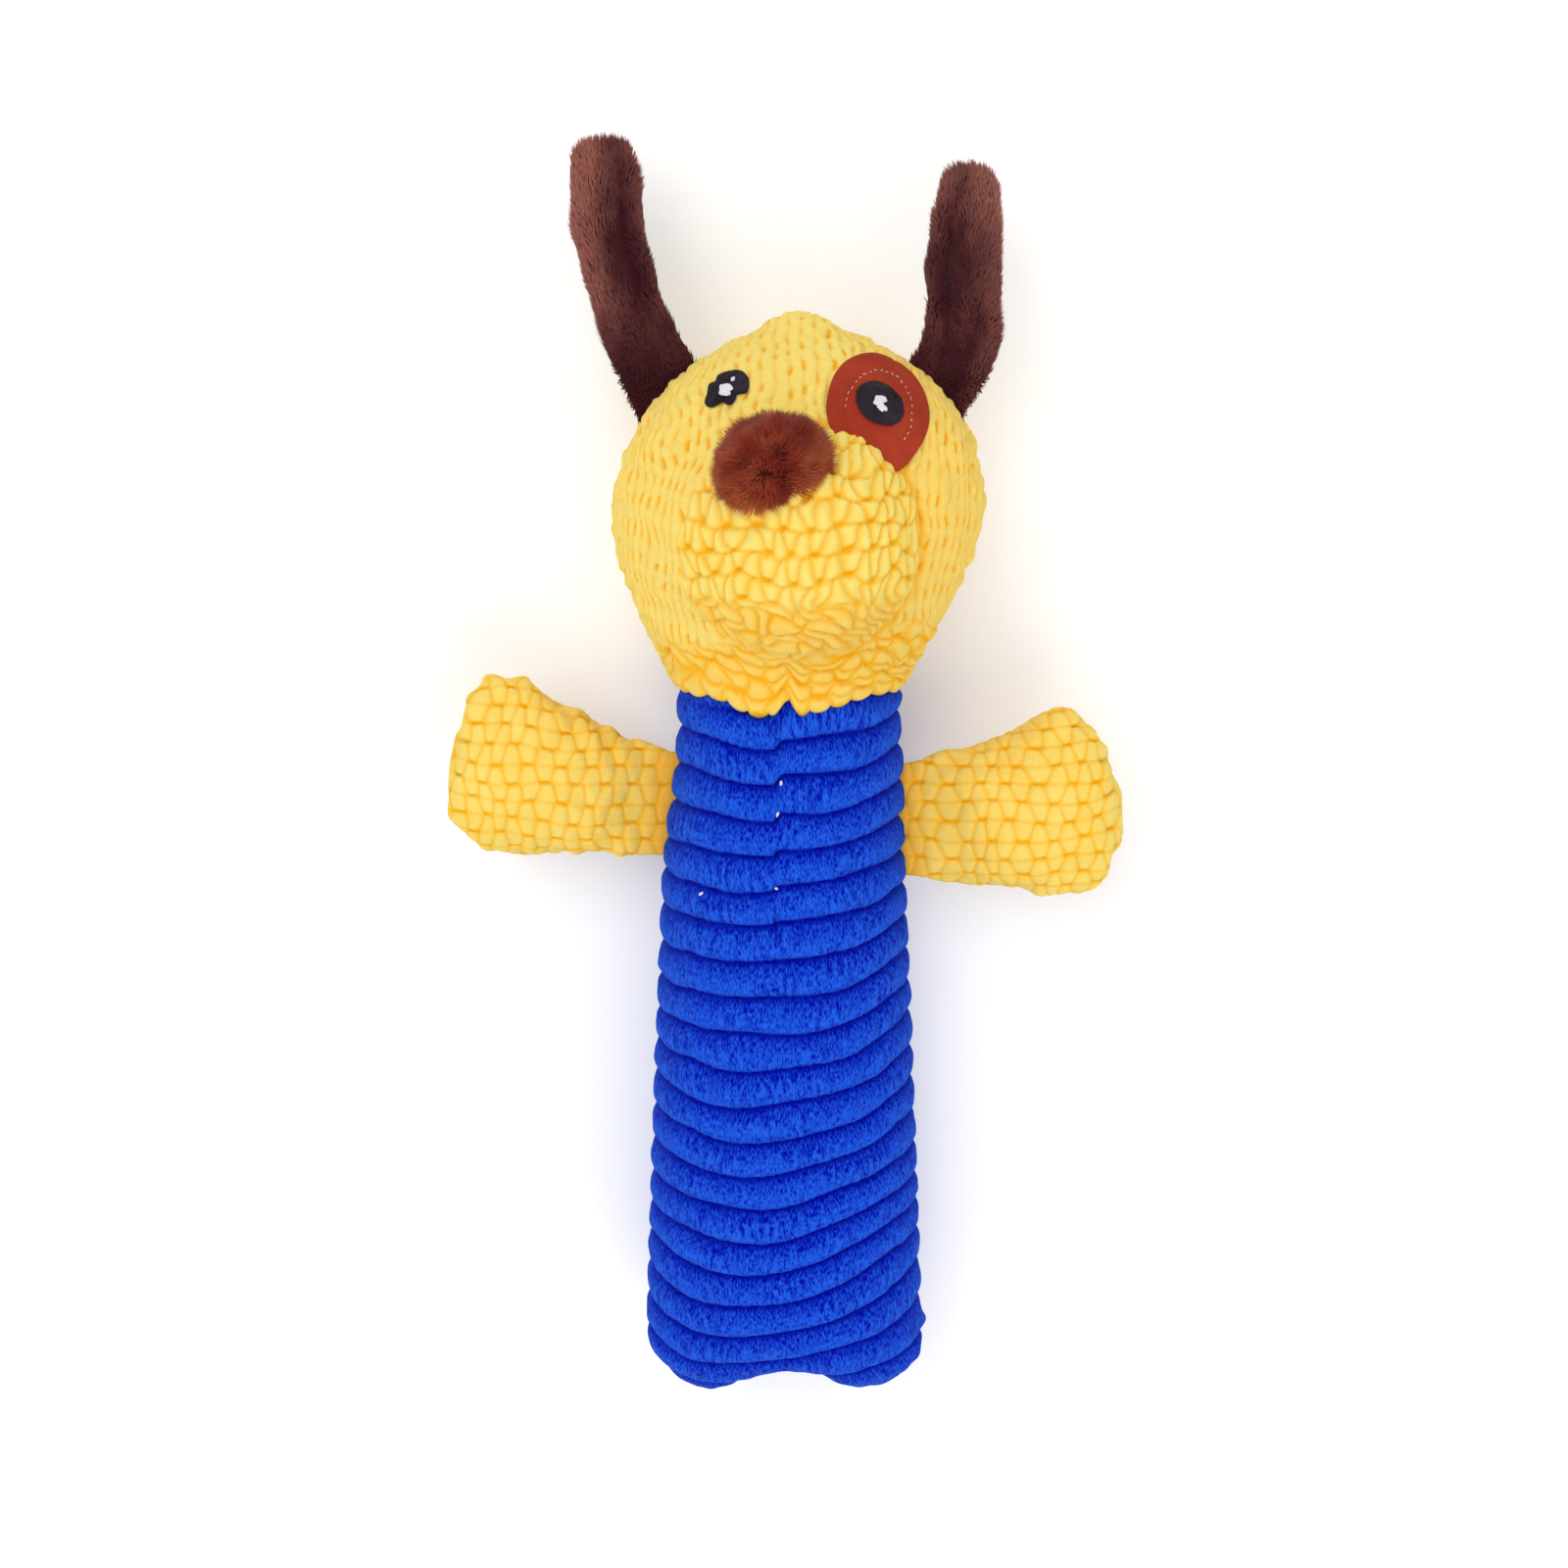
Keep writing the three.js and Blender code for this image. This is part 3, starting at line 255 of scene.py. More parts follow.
GLINTS = [  # name and eye, then across, up, half sizes and turn, and the height over the face
    ("eye_right_glint", EYE_RIGHT, (0, 0.7, 1.6, 1.2, 15), 2.6),
    ("eye_right_glint_tail", EYE_RIGHT, (0.5, -0.9, 1.3, 0.8, -20), 2.6),
    ("eye_left_glint", EYE_LEFT, (-0.2, 0, 1.7, 1.4, 30), 1.1),
    ("eye_left_glint_speck", EYE_LEFT, (1.5, 2.4, 0.6, 0.45, 50), 1.1),
]

# Ears and arms, as in the model
EAR_HALF_THICKNESS = 4.8
EARS = {
    "ear_left": {
        "side": -1, "length": 60, "half_width": 9, "droop": 9, "root_share": 0.82, "fold_place": 0.4,
        "outward": [0, 0.095, 0.194, 0.254], "upward": [0, 0.2, 0.51, 0.97],
        "widths": [1.22, 1.18, 1.1, 1.02, 0.99, 1.01, 1.04, 1.02, 0.96, 0.86],
    },
    "ear_right": {
        "side": 1, "length": 54, "half_width": 9.7, "droop": 8, "root_share": 0.81, "fold_place": -0.35,
        "outward": [0.012, 0.1, 0.122, 0.165], "upward": [0, 0.16, 0.55, 0.98],
        "widths": [1.08, 1.06, 1.04, 1.01, 1, 1, 0.94, 0.88, 0.8, 0.66],
    },
}
EAR_ALONG_SHARES = [0, 0.05, 0.13, 0.25, 0.4, 0.55, 0.7, 0.82, 0.91, 0.97]
EAR_THICKNESS_SHARES = [0.3, 0.31, 0.6, 0.86, 1, 1, 0.98, 0.9, 0.74, 0.44]
EAR_ROOT_TURN_SHARE = 0.25
EAR_PILE = 19000
EAR_PILE_LENGTH = 2.3
EAR_PILE_SWAY = 0.32
EAR_PILE_MESS = 0.09
EAR_ROOT_MESS = 0.25
EAR_ROOT_SHORTENING = 0.35
EAR_STRAND_THICKNESS = 0.33
EAR_PILE_DEPTH = 1.3
EAR_ROWS = 110
EAR_END_ROWS = 4
EAR_COLUMNS = 72
EAR_TONE = 0.26  # from 0 for dark strands to 1 for light ones
# painted light and shade in the ear pile's tone: sheen towards the tip, light on the edges, shade near the
# root and in the fold
EAR_TIP_PAINTED_SHEEN = 0.5
EAR_ROOT_SHADE = 0.34
EAR_FOLD_PAINTED_SHADE = 0.48
EAR_LEFT_EDGE_PAINTED_LIGHT = 0.5
EAR_RIGHT_EDGE_PAINTED_LIGHT = 0.3
EAR_RIGHT_TIP_PAINTED_SHEEN = 0.15
EAR_FOLD_DEPTH = 3.6
EAR_FOLD_HALF_WIDTH = 0.24  # share of the ear's half width
EAR_SUNK = 2.4  # of its root, in the head
ARM_LENGTH = 56.6
ARM_ROOT_HALF_HEIGHT = 14
ARM_HALF_THICKNESS = 10.5
ARM_ALONG_SHARES = [0, 0.08, 0.2, 0.35, 0.52, 0.72, 0.85, 0.93, 0.98]
ARM_CLOSING_SHARES = [1, 1, 1, 1, 1, 1, 0.95, 0.76, 0.44]
ARM_THICKNESS_SHARES = [0.14, 0.22, 0.52, 0.86, 1, 1, 0.9, 0.7, 0.38]
ARM_SUNK = 3
ARM_ROWS = 176
ARM_END_ROWS = 6
ARM_COLUMNS = 240
ARM_RELIEF = 1.05
ARM_PAW_FALL = 2.7
ARMS = {
    "arm_left": {
        "side": -1, "below_neck": 17.8, "root": 14, "rise": 33.5, "drop": 13,
        "spread": [0, 0.08, 0.18, 0.4, 0.67, 1, 1, 1, 1],
        "drop_power": 1, "rise_cut": 0, "drop_cut": 0.2, "slant": 0.068, "row_line": 0.22, "seed": 20,
    },
    "arm_right": {
        "side": 1, "below_neck": 22.3, "root": 14.9, "rise": 28.8, "drop": 19.9,
        "spread": [0, 0.06, 0.18, 0.34, 0.6, 1.04, 0.98, 0.92, 0.9],
        "drop_power": 0.6, "rise_cut": 0.1, "drop_cut": 0.03, "slant": 0.1, "row_line": 0.32, "seed": 30,
    },
}

# Squeaker wall
BELLOWS_FOLDS = 3
BELLOWS_FOLD_DEPTH = 3
BELLOWS_WALL = 1
BELLOWS_LEVELS = 97
BELLOWS_COLUMNS = 64

# White thread ends on the chest: place across and up, and turn
CHEST_THREADS = [(-0.9, -6.4, 1.5), (-1.9, -14.4, 1.3), (-2.2, -33, -0.3), (-20.8, -36, 0.7)]
CHEST_THREAD_LENGTH = 1.5
CHEST_THREAD_THICKNESS = 0.75

# Light
FLOOR_SIZE = 6  # in metres
FLOOR_TONE = 0.92
FLOOR_GLOW = 0.16  # for the camera alone, so that the open floor is white
WORLD_LEVEL = 0.715
LAMPS = [("key", (-0.4, 0.6, 1.3), 1.1, 7), ("fill", (0.35, -0.85, 1.15), 1.2, 5.2)]  # place, size, power

# Looks
WHITE = [1, 1, 1, 1]
MIX_COLOURS = (6, 7)  # the numbers of a mix node's two colour inputs
MIX_RESULT = 2  # and of its colour output
BROAD_FUZZ_SCALE = 110


# Number helpers

def smooth(low, high, value):
    """Runs from 0 at low to 1 at high on a soft curve."""
    t = np.clip((value - low) / (high - low), 0, 1)
    return t * t * (3 - 2 * t)


def bell(value):
    """Falls from 1 at 0 to nothing on both sides."""
    return np.exp(-value ** 2)


def around(count):
    """Angles evenly round a circle."""
    return np.linspace(0, 2 * np.pi, count, endpoint=False)


def along_table(places, values, at):
    """The values of a table at some places, on a smooth curve through its points."""
    places, values = np.array(places, float), np.array(values, float)
    slopes = np.gradient(values, places)
    at = np.clip(at, places[0], places[-1])
    here = np.clip(np.searchsorted(places, at, side="right") - 1, 0, len(places) - 2)
    span = places[here + 1] - places[here]
    t = (at - places[here]) / span
    curve = t * t * (3 - 2 * t)
    lead = (t ** 3 - 2 * t ** 2 + t) * slopes[here] * span
    trail = (t ** 3 - t ** 2) * slopes[here + 1] * span
    return values[here] * (1 - curve) + values[here + 1] * curve + lead + trail


def waves(points, length, seed, count=9):
    """A smooth random value from about -1 to 1 at each point, which changes over a length."""
    chance = np.random.default_rng(seed)
    ways = chance.normal(size=(count, points.shape[-1]))
    ways *= 2 * np.pi / length / np.linalg.norm(ways, axis=1, keepdims=True)
    ways *= chance.uniform(0.6, 1.4, (count, 1))
    turns = chance.uniform(0, 2 * np.pi, count)
    return np.sin(points @ ways.T + turns).sum(-1) * math.sqrt(1.2 / count)


def rolling(points, given):
    """A sum of waves, each given by its height, length and seed."""
    return sum(height * waves(points, length, seed) for height, length, seed in given)


def spread_ways(points, length, seeds):
    """A random direction at each point, which changes over a length."""
    return np.stack([waves(points, length, seed) for seed in seeds], -1)


def lot(first, second, seed):
    """A random number from 0 to 1 for each pair of whole numbers."""
    mixed = np.sin(first * 12.9898 + second * 78.233 + seed * 37.719) * 43758.5453
    return mixed - np.floor(mixed)


def groove(distance, radius):
    """A round shoulder: 0 in the groove and 1 past its radius."""
    return np.sqrt(np.clip(1 - (1 - np.minimum(distance / radius, 1)) ** 2, 0, 1))


def pillow(distance, radius):
    """A soft shoulder: 0 in the groove and 1 past its radius."""
    return 1 - (1 - np.minimum(distance / radius, 1)) ** 2


def lengths_along(points, axis):
    """The length run along one way of a grid of points, from its first row or column."""
    steps = np.linalg.norm(np.diff(points, axis=axis), axis=-1)
    start = np.zeros_like(np.take(steps, [0], axis=axis))
    return np.concatenate([start, np.cumsum(steps, axis=axis)], axis=axis)


def on_line(at, places, points):
    """The points of a line at some places along it."""
    return np.stack([np.interp(at, places, points[:, k]) for k in range(3)], -1)


def unit(ways):
    """The same directions, each with a length of 1."""
    return ways / np.linalg.norm(ways, axis=-1, keepdims=True)


def reach_at(edge, turn):
    """The reach of an outline, given as a table of angles in degrees, at some angles in radians."""
    degs = np.degrees((turn + np.pi) % (2 * np.pi) - np.pi)
    return along_table(list(edge), list(edge.values()), degs)


# Mesh helpers

def skin(name, grid):
    """A closed piece through a grid of places, its two end rows drawn together to points. Gives the piece and
    the place of each of its points in the grid."""
    rows, columns = grid.shape[0] - 1, grid.shape[1]
    bpy.ops.mesh.primitive_grid_add(x_subdivisions=columns, y_subdivisions=rows, size=2)
    piece = bpy.context.object
    piece.name = name
    piece.data.name = name
    flat = places_of(piece)
    turn, rise = np.pi * flat[:, 0], np.pi / 2 * flat[:, 1]
    ball = np.stack([np.cos(turn) * np.cos(rise), np.sin(turn) * np.cos(rise), np.sin(rise)], -1)
    piece.data.vertices.foreach_set("co", ball.ravel())
    bpy.ops.object.mode_set(mode="EDIT")
    bpy.ops.mesh.select_all(action="SELECT")
    bpy.ops.mesh.remove_doubles(threshold=1e-6)
    bpy.ops.object.mode_set(mode="OBJECT")
    piece.select_set(False)
    ball = places_of(piece)
    ring = np.rint((np.arcsin(np.clip(ball[:, 2], -1, 1)) / np.pi + 0.5) * rows).astype(int)
    column = np.rint(np.arctan2(ball[:, 1], ball[:, 0]) / (2 * np.pi) * columns).astype(int) % columns
    put(piece, grid[ring, column])
    face_outwards(piece)
    return piece, (ring, column)


def read(rows, field, kind=float, width=3):
    """What a mesh keeps in a field of its points, corners or triangles, as rows of numbers."""
    values = np.zeros(len(rows) * width, kind)
    rows.foreach_get(field, values)
    return values.reshape(-1, width)


def places_of(piece):
    return read(piece.data.vertices, "co")


def from_neck(piece):
    """The places of a piece's points in millimetres from the neck."""
    return (places_of(piece) - NECK_ON_GROUND) / MM


def normals_of(piece):
    return read(piece.data.vertex_normals, "vector", np.float32)


def triangles_of(piece):
    """The numbers of the points at the three corners of each of a piece's triangles."""
    piece.data.calc_loop_triangles()
    return read(piece.data.loop_triangles, "vertices", np.int32)


def face_outwards(piece):
    """Turns a piece's faces round where they point inwards."""
    a, b, c = places_of(piece)[triangles_of(piece).T]
    if (a * np.cross(b, c)).sum() < 0:
        piece.data.flip_normals()
        piece.data.update()


def new_piece(name, points, faces):
    """A smooth piece from places in millimetres from the neck and the numbers of its faces' points."""
    mesh = bpy.data.meshes.new(name)
    mesh.from_pydata((points.reshape(-1, 3) * MM + NECK_ON_GROUND).tolist(), [], faces.tolist())
    mesh.shade_smooth()
    piece = bpy.data.objects.new(name, mesh)
    bpy.context.scene.collection.objects.link(piece)
    return piece


def put(piece, points):
    """Moves the points of a piece to places given in millimetres from the neck."""
    piece.data.vertices.foreach_set("co", (points * MM + NECK_ON_GROUND).ravel())
    piece.data.update()
    piece.data.shade_smooth()


def mark(piece, name, values):
    """Keeps a value on each point of a piece for its material."""
    attribute = piece.data.attributes.new(name, "FLOAT", "POINT")
    attribute.data.foreach_set("value", np.asarray(values, np.float32))


def lay_cloth(piece, across, along):
    """Keeps the cloth's own directions, in metres, as the piece's UV map."""
    corners = read(piece.data.loops, "vertex_index", np.int32, 1)[:, 0]
    flat = np.stack([across[corners], along[corners]], -1) * MM
    piece.data.uv_layers.active.data.foreach_set("uv", flat.ravel().astype(np.float32))


def dress(piece, body, slot, material, *nodes):
    """Gives a piece its body and material, and hides the nodes that it stands for. Its slot is not used."""
    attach(piece, body)
    piece.data.materials.clear()
    piece.data.materials.append(material)
    if nodes:
        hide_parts(*nodes)
    return piece


def pressed(points, share, height):
    """How much of a relief is left near the ground: a share on it, and all of it over a height."""
    return share + (1 - share) * smooth(0, height, points[..., 2])


def rest_on_ground(points):
    """Presses what would lie under the ground flat on it."""
    low = 0.3
    height = points[..., 2]
    points[..., 2] = np.where(height < low, low * np.exp((np.minimum(height, low) - low) / 3), height)
    return points


# Material helpers

def colour(red, green, blue):
    """A colour given in the photograph's values from 0 to 255."""
    parts = [part / 255 for part in (red, green, blue)]
    return [p / 12.92 if p <= 0.04045 else ((p + 0.055) / 1.055) ** 2.4 for p in parts] + [1]


def feed(tree, node, inputs):
    """Sets a node's inputs, each to a value or to another node's output."""
    for name, given in inputs.items():
        if isinstance(given, bpy.types.NodeSocket):
            tree.links.new(given, node.inputs[name])
        else:
            node.inputs[name].default_value = given


def add(tree, kind, inputs, **settings):
    """A new shader node with its settings and inputs. Gives its outputs."""
    node = tree.nodes.new("ShaderNode" + kind)
    for name, value in settings.items():
        setattr(node, name, value)
    feed(tree, node, inputs)
    return node.outputs


def attribute_of(tree, name):
    return add(tree, "Attribute", {}, attribute_name=name)["Fac"]


def noise(tree, place, scale, detail=2, roughness=0.5):
    return add(tree, "TexNoise", {"Vector": place, "Scale": scale, "Detail": detail, "Roughness": roughness})


def mixed(tree, factor, first, second):
    """A colour between two others. Each may be three values of a colour or an output."""
    first, second = (colour(*given) if isinstance(given, tuple) else given for given in (first, second))
    inputs = dict(zip(MIX_COLOURS, (first, second)))
    return add(tree, "Mix", {"Factor": factor, **inputs}, data_type="RGBA")[MIX_RESULT]


def ranged(tree, value, low, high, to_low=0, to_high=1):
    """A value taken from one range to another, and held inside it."""
    return add(tree, "MapRange", {"Value": value, "From Min": low, "From Max": high, "To Min": to_low,
                                  "To Max": to_high})["Result"]


def combined(tree, operation, first, second):
    """Two values put together by a sum, a product or a division."""
    return add(tree, "Math", {0: first, 1: second}, operation=operation)[0]


def new_material(name):
    material = bpy.data.materials.new(name)
    material.use_nodes = True
    return material, material.node_tree, material.node_tree.nodes["Principled BSDF"]


def fuzz_group():
    """Fine soft fuzz: a height for bumps and a mask of lighter and darker fibres."""
    tree = bpy.data.node_groups.new("fibre fuzz", "ShaderNodeTree")
    for name, way in (("Fibre Size", "INPUT"), ("Height", "OUTPUT"), ("Tone", "OUTPUT")):
        tree.interface.new_socket(name, in_out=way, socket_type="NodeSocketFloat")
    inside, outside = tree.nodes.new("NodeGroupInput"), tree.nodes.new("NodeGroupOutput")
    place = add(tree, "TexCoord", {})["Object"]
    fine = noise(tree, place, combined(tree, "DIVIDE", 1, inside.outputs["Fibre Size"]), 3, 0.7)["Fac"]
    broad = noise(tree, place, BROAD_FUZZ_SCALE, 3)["Fac"]
    tone = add(tree, "Mix", {"Factor": 0.5, "A": fine, "B": broad})["Result"]
    feed(tree, outside, {"Height": fine, "Tone": tone})
    return tree


FUZZ = fuzz_group()


def fuzz_of(tree, size):
    return add(tree, "Group", {"Fibre Size": size}, node_tree=FUZZ)


def add_bumps(tree, shader, height, depth):
    bumps = add(tree, "Bump", {"Strength": 1, "Distance": depth, "Height": height})
    feed(tree, shader, {"Normal": bumps["Normal"]})


def add_fuzz(tree, shader, size, depth):
    """Places the fuzz on a material and returns its mask."""
    fuzz = fuzz_of(tree, size)
    add_bumps(tree, shader, fuzz["Height"], depth)
    return fuzz["Tone"]


def knit_material():
    """Chunky soft yarn, paler on top of the loops, with painted shade: deeper in the grooves, warmer where
    marked.
    """
    material, tree, shader = new_material("chunky knit")
    uneven = ranged(tree, add_fuzz(tree, shader, 0.0005, 0.0003), 0.35, 0.65, -0.16, 0.16)
    deep = combined(tree, "ADD", ranged(tree, attribute_of(tree, "depth"), 0.05, 0.9), uneven)
    # painted shade: the yarn's colour runs to deep orange in the grooves
    yarn = mixed(tree, ranged(tree, deep, 0, 1), (255, 228, 126), (255, 186, 4))
    # painted shade: a warm orange mixed in where a piece marks its shade
    shade = ranged(tree, attribute_of(tree, "shade"), 0, 1, 0, 0.75)
    feed(tree, shader, {
        "Base Color": mixed(tree, shade, yarn, (253, 174, 36)), "Roughness": 0.9, "Specular IOR Level": 0.12,
        "Subsurface Weight": 0.5, "Subsurface Radius": (0.8, 0.65, 0.25), "Subsurface Scale": 0.0014,
        "Sheen Weight": 0.35, "Sheen Roughness": 0.5, "Sheen Tint": [1, 0.75, 0.18, 1],
    })
    return material


def plush_material():
    """Short ribbed pile: dark under each fold with painted shade in it, and paler upright streaks of painted
    sheen in patches on its lower half.
    """
    material, tree, shader = new_material("ribbed plush")
    cloth = add(tree, "UVMap", {}, uv_map="UVMap")["UV"]
    bent = noise(tree, cloth, 110)["Color"]
    lean = add(tree, "VectorMath", {0: bent, 1: (0.003, 0, 0), 2: cloth}, operation="MULTIPLY_ADD")[0]

    def streaks(counts, detail, *span):
        """Upright streaks, so many to a metre across and along the cloth."""
        place = add(tree, "Mapping", {"Scale": (*counts, 1), "Vector": lean})["Vector"]
        return ranged(tree, noise(tree, place, 1, detail)["Fac"], *span)

    rib = attribute_of(tree, "rib")
    patches = ranged(tree, noise(tree, cloth, 75)["Fac"], 0.38, 0.6, 0.2, 1)
    reach = combined(tree, "MULTIPLY", patches, ranged(tree, rib, 0.1, 0.4, 0.3, 1))
    # painted sheen: paler streaks in patches where the pile lies one way, over its fine grain; each rib also
    # runs from darker high up to paler low down
    brushed_sheen = combined(tree, "MULTIPLY", reach, streaks((820, 230), 2, 0.38, 0.62, -0.48, 0.36))
    lit = combined(tree, "ADD", brushed_sheen, streaks((2700, 800), 1, 0.36, 0.64, -0.4, 0.4))
    lit = combined(tree, "ADD", lit, ranged(tree, rib, 0.1, 0.66, 0.2, 0.68))
    shade = mixed(tree, ranged(tree, lit, 0, 1), (0, 8, 174), (36, 100, 240))
    # painted shade: deeper blue in each fold and along the seam's pleat
    fold = ranged(tree, attribute_of(tree, "depth"), 0.35, 0.85)
    add_bumps(tree, shader, combined(tree, "ADD", fuzz_of(tree, 0.00048)["Height"], brushed_sheen), 0.00045)
    feed(tree, shader, {
        "Base Color": mixed(tree, fold, shade, (0, 6, 158)), "Roughness": 0.9, "Specular IOR Level": 0.03,
        "Sheen Weight": 0.22, "Sheen Roughness": 0.3, "Sheen Tint": [0.2, 0.42, 1, 1],
    })
    return material


def fur_material(name, root, body, tip):
    """Strands that are dark at the root, with lighter and darker tufts and the painted light and shade that a
    piece puts in their tone.
    """
    material, tree, shader = new_material(name)
    tuft = mixed(tree, attribute_of(tree, "tone"), body, tip)
    strand = mixed(tree, ranged(tree, attribute_of(tree, "along"), 0, 0.7), root, tuft)
    feed(tree, shader, {
        "Base Color": strand, "Roughness": 0.7, "Specular IOR Level": 0.2, "Sheen Weight": 0.12,
        "Sheen Roughness": 0.4, "Sheen Tint": [1, 0.6, 0.5, 1],
    })
    return material


def fabric_material(name, dark, light, size, depth, roughness=0.85):
    """A plain fibrous finish of two near tones, for felt, thread and backing."""
    material, tree, shader = new_material(name)
    tone = ranged(tree, add_fuzz(tree, shader, size, depth), 0.35, 0.65)
    feed(tree, shader, {"Base Color": mixed(tree, tone, dark, light), "Roughness": roughness,
                        "Specular IOR Level": 0.2})
    return material


def hard_material(name, dark, light, size, depth, roughness, metallic):
    """Moulded plastic or rolled metal with a faint uneven gloss."""
    material, tree, shader = new_material(name)
    tone = add_fuzz(tree, shader, size, depth)
    feed(tree, shader, {"Base Color": mixed(tree, tone, dark, light), "Metallic": metallic,
                        "Roughness": ranged(tree, tone, 0, 1, *roughness)})
    return material


KNIT = knit_material()
PLUSH = plush_material()
EAR_FUR = fur_material("ear pile", (56, 8, 18), (82, 18, 36), (196, 122, 106))
EAR_BACKING = fabric_material("ear cloth", (56, 10, 20), (84, 24, 34), 0.0006, 0.0003)
NOSE_FUR = fur_material("nose fur", (120, 28, 22), (146, 38, 30), (214, 116, 66))
NOSE_BACKING = fabric_material("nose cloth", (186, 74, 56), (204, 88, 64), 0.0006, 0.0003)
FELT = fabric_material("patch felt", (152, 44, 22), (176, 60, 35), 0.0005, 0.00025)
DARK_THREAD = fabric_material("dark thread", (8, 6, 14), (58, 48, 58), 0.0003, 0.0002)
STITCH_THREAD = fabric_material("stitch thread", (196, 150, 126), (246, 214, 190), 0.0003, 0.0001, 0.6)
WHITE_THREAD = fabric_material("white thread", (216, 214, 222), (240, 239, 245), 0.0003, 0.0001, 0.5)
PLASTIC = hard_material("squeaker plastic", (222, 228, 232), (240, 244, 246), 0.002, 0.00003, (0.3, 0.5), 0)
BRASS = hard_material("reed brass", (176, 140, 62), (206, 170, 90), 0.001, 0.00001, (0.2, 0.4), 1)


# Body

def body_half_width(below):
    corner = BODY_LENGTH - HEM_CORNER_RADIUS
    share = np.clip(below / corner, 0, 1)
    side = NECK_RADIUS + (HEM_HALF_WIDTH - NECK_RADIUS) * share ** BODY_WIDENING_SHARE
    past = np.clip(below - corner, 0, HEM_CORNER_RADIUS)
    return side - HEM_CORNER_RADIUS + np.sqrt(HEM_CORNER_RADIUS ** 2 - past ** 2)


def body_half_depth(below):
    start = BODY_LENGTH - HEM_TAPER_LENGTH
    share = along_table([0, 45], [NECK_RADIUS, BODY_HALF_DEPTH], below)
    past = np.clip((below - start) / HEM_TAPER_LENGTH, 0, 1)
    seam = HEM_SEAM_THICKNESS / 2
    return seam + (share - seam) * np.sqrt(1 - past ** 2)


def body_grid():
    """The tube as a grid of rings from the hem to the top of the dome, and its distance below the neck."""
    tube_rows = BODY_ROWS - DOME_ROWS
    line = np.linspace(BODY_LENGTH, -DOME_FOOT, 2000)
    side = np.stack([line, body_half_depth(np.maximum(line, 0))], -1)
    run = lengths_along(side, 0)
    below = np.interp(np.linspace(0, run[-1], tube_rows - 2), run, line)
    below = np.concatenate([[BODY_LENGTH] * 3, below[1:]])
    closing = np.concatenate([[0, 0.45, 0.85], np.ones(len(below) - 3)])
    half_width = body_half_width(np.maximum(below, 0)) * closing
    half_depth = body_half_depth(np.maximum(below, 0)) * np.sqrt(closing)
    top = math.asin(DOME_FOOT / DOME_RADIUS)
    rise = np.linspace(top, np.pi / 2, DOME_ROWS + 2)[1:]
    below = np.concatenate([below, -DOME_RADIUS * np.sin(rise)])
    half_width = np.concatenate([half_width, DOME_RADIUS * np.cos(rise)])
    half_depth = np.concatenate([half_depth, DOME_RADIUS * np.cos(rise)])
    turn = around(BODY_COLUMNS)
    across = half_width[:, None] * np.sin(turn)
    up = AXIS_HEIGHT + half_depth[:, None] * np.cos(turn)
    fade = np.clip((below - (BODY_LENGTH - HEM_TAPER_LENGTH)) / HEM_TAPER_LENGTH, 0, 1)[:, None] ** 2
    reach = np.minimum(np.abs(across) / HEM_LIFT_HALF_WIDTH, 1)
    lift = HEM_LIFT * fade * (1 + np.cos(np.pi * reach)) / 2
    slimmer = NECK_SLIMMING * smooth(32, 8, below[:, None]) * np.sin(turn)
    across = across - slimmer + NECK_SHIFT * smooth(32, 4, below[:, None])
    across = across + HEM_SHIFT * smooth(160, 176, below[:, None])
    return np.stack([across, lift - below[:, None], up], -1)


def round_rings(points, axis_height):
    """The length round each ring from the nearer of its middle lines, front or back, and which is front."""
    closed = np.concatenate([points, points[:, :1]], 1)
    run = lengths_along(closed, 1)
    whole = run[:, -1:]
    run = run[:, :-1]
    run = np.where(run > whole / 2, run - whole, run)
    front = points[..., 2] >= axis_height
    return np.where(front, run, np.sign(run) * whole / 2 - run), front


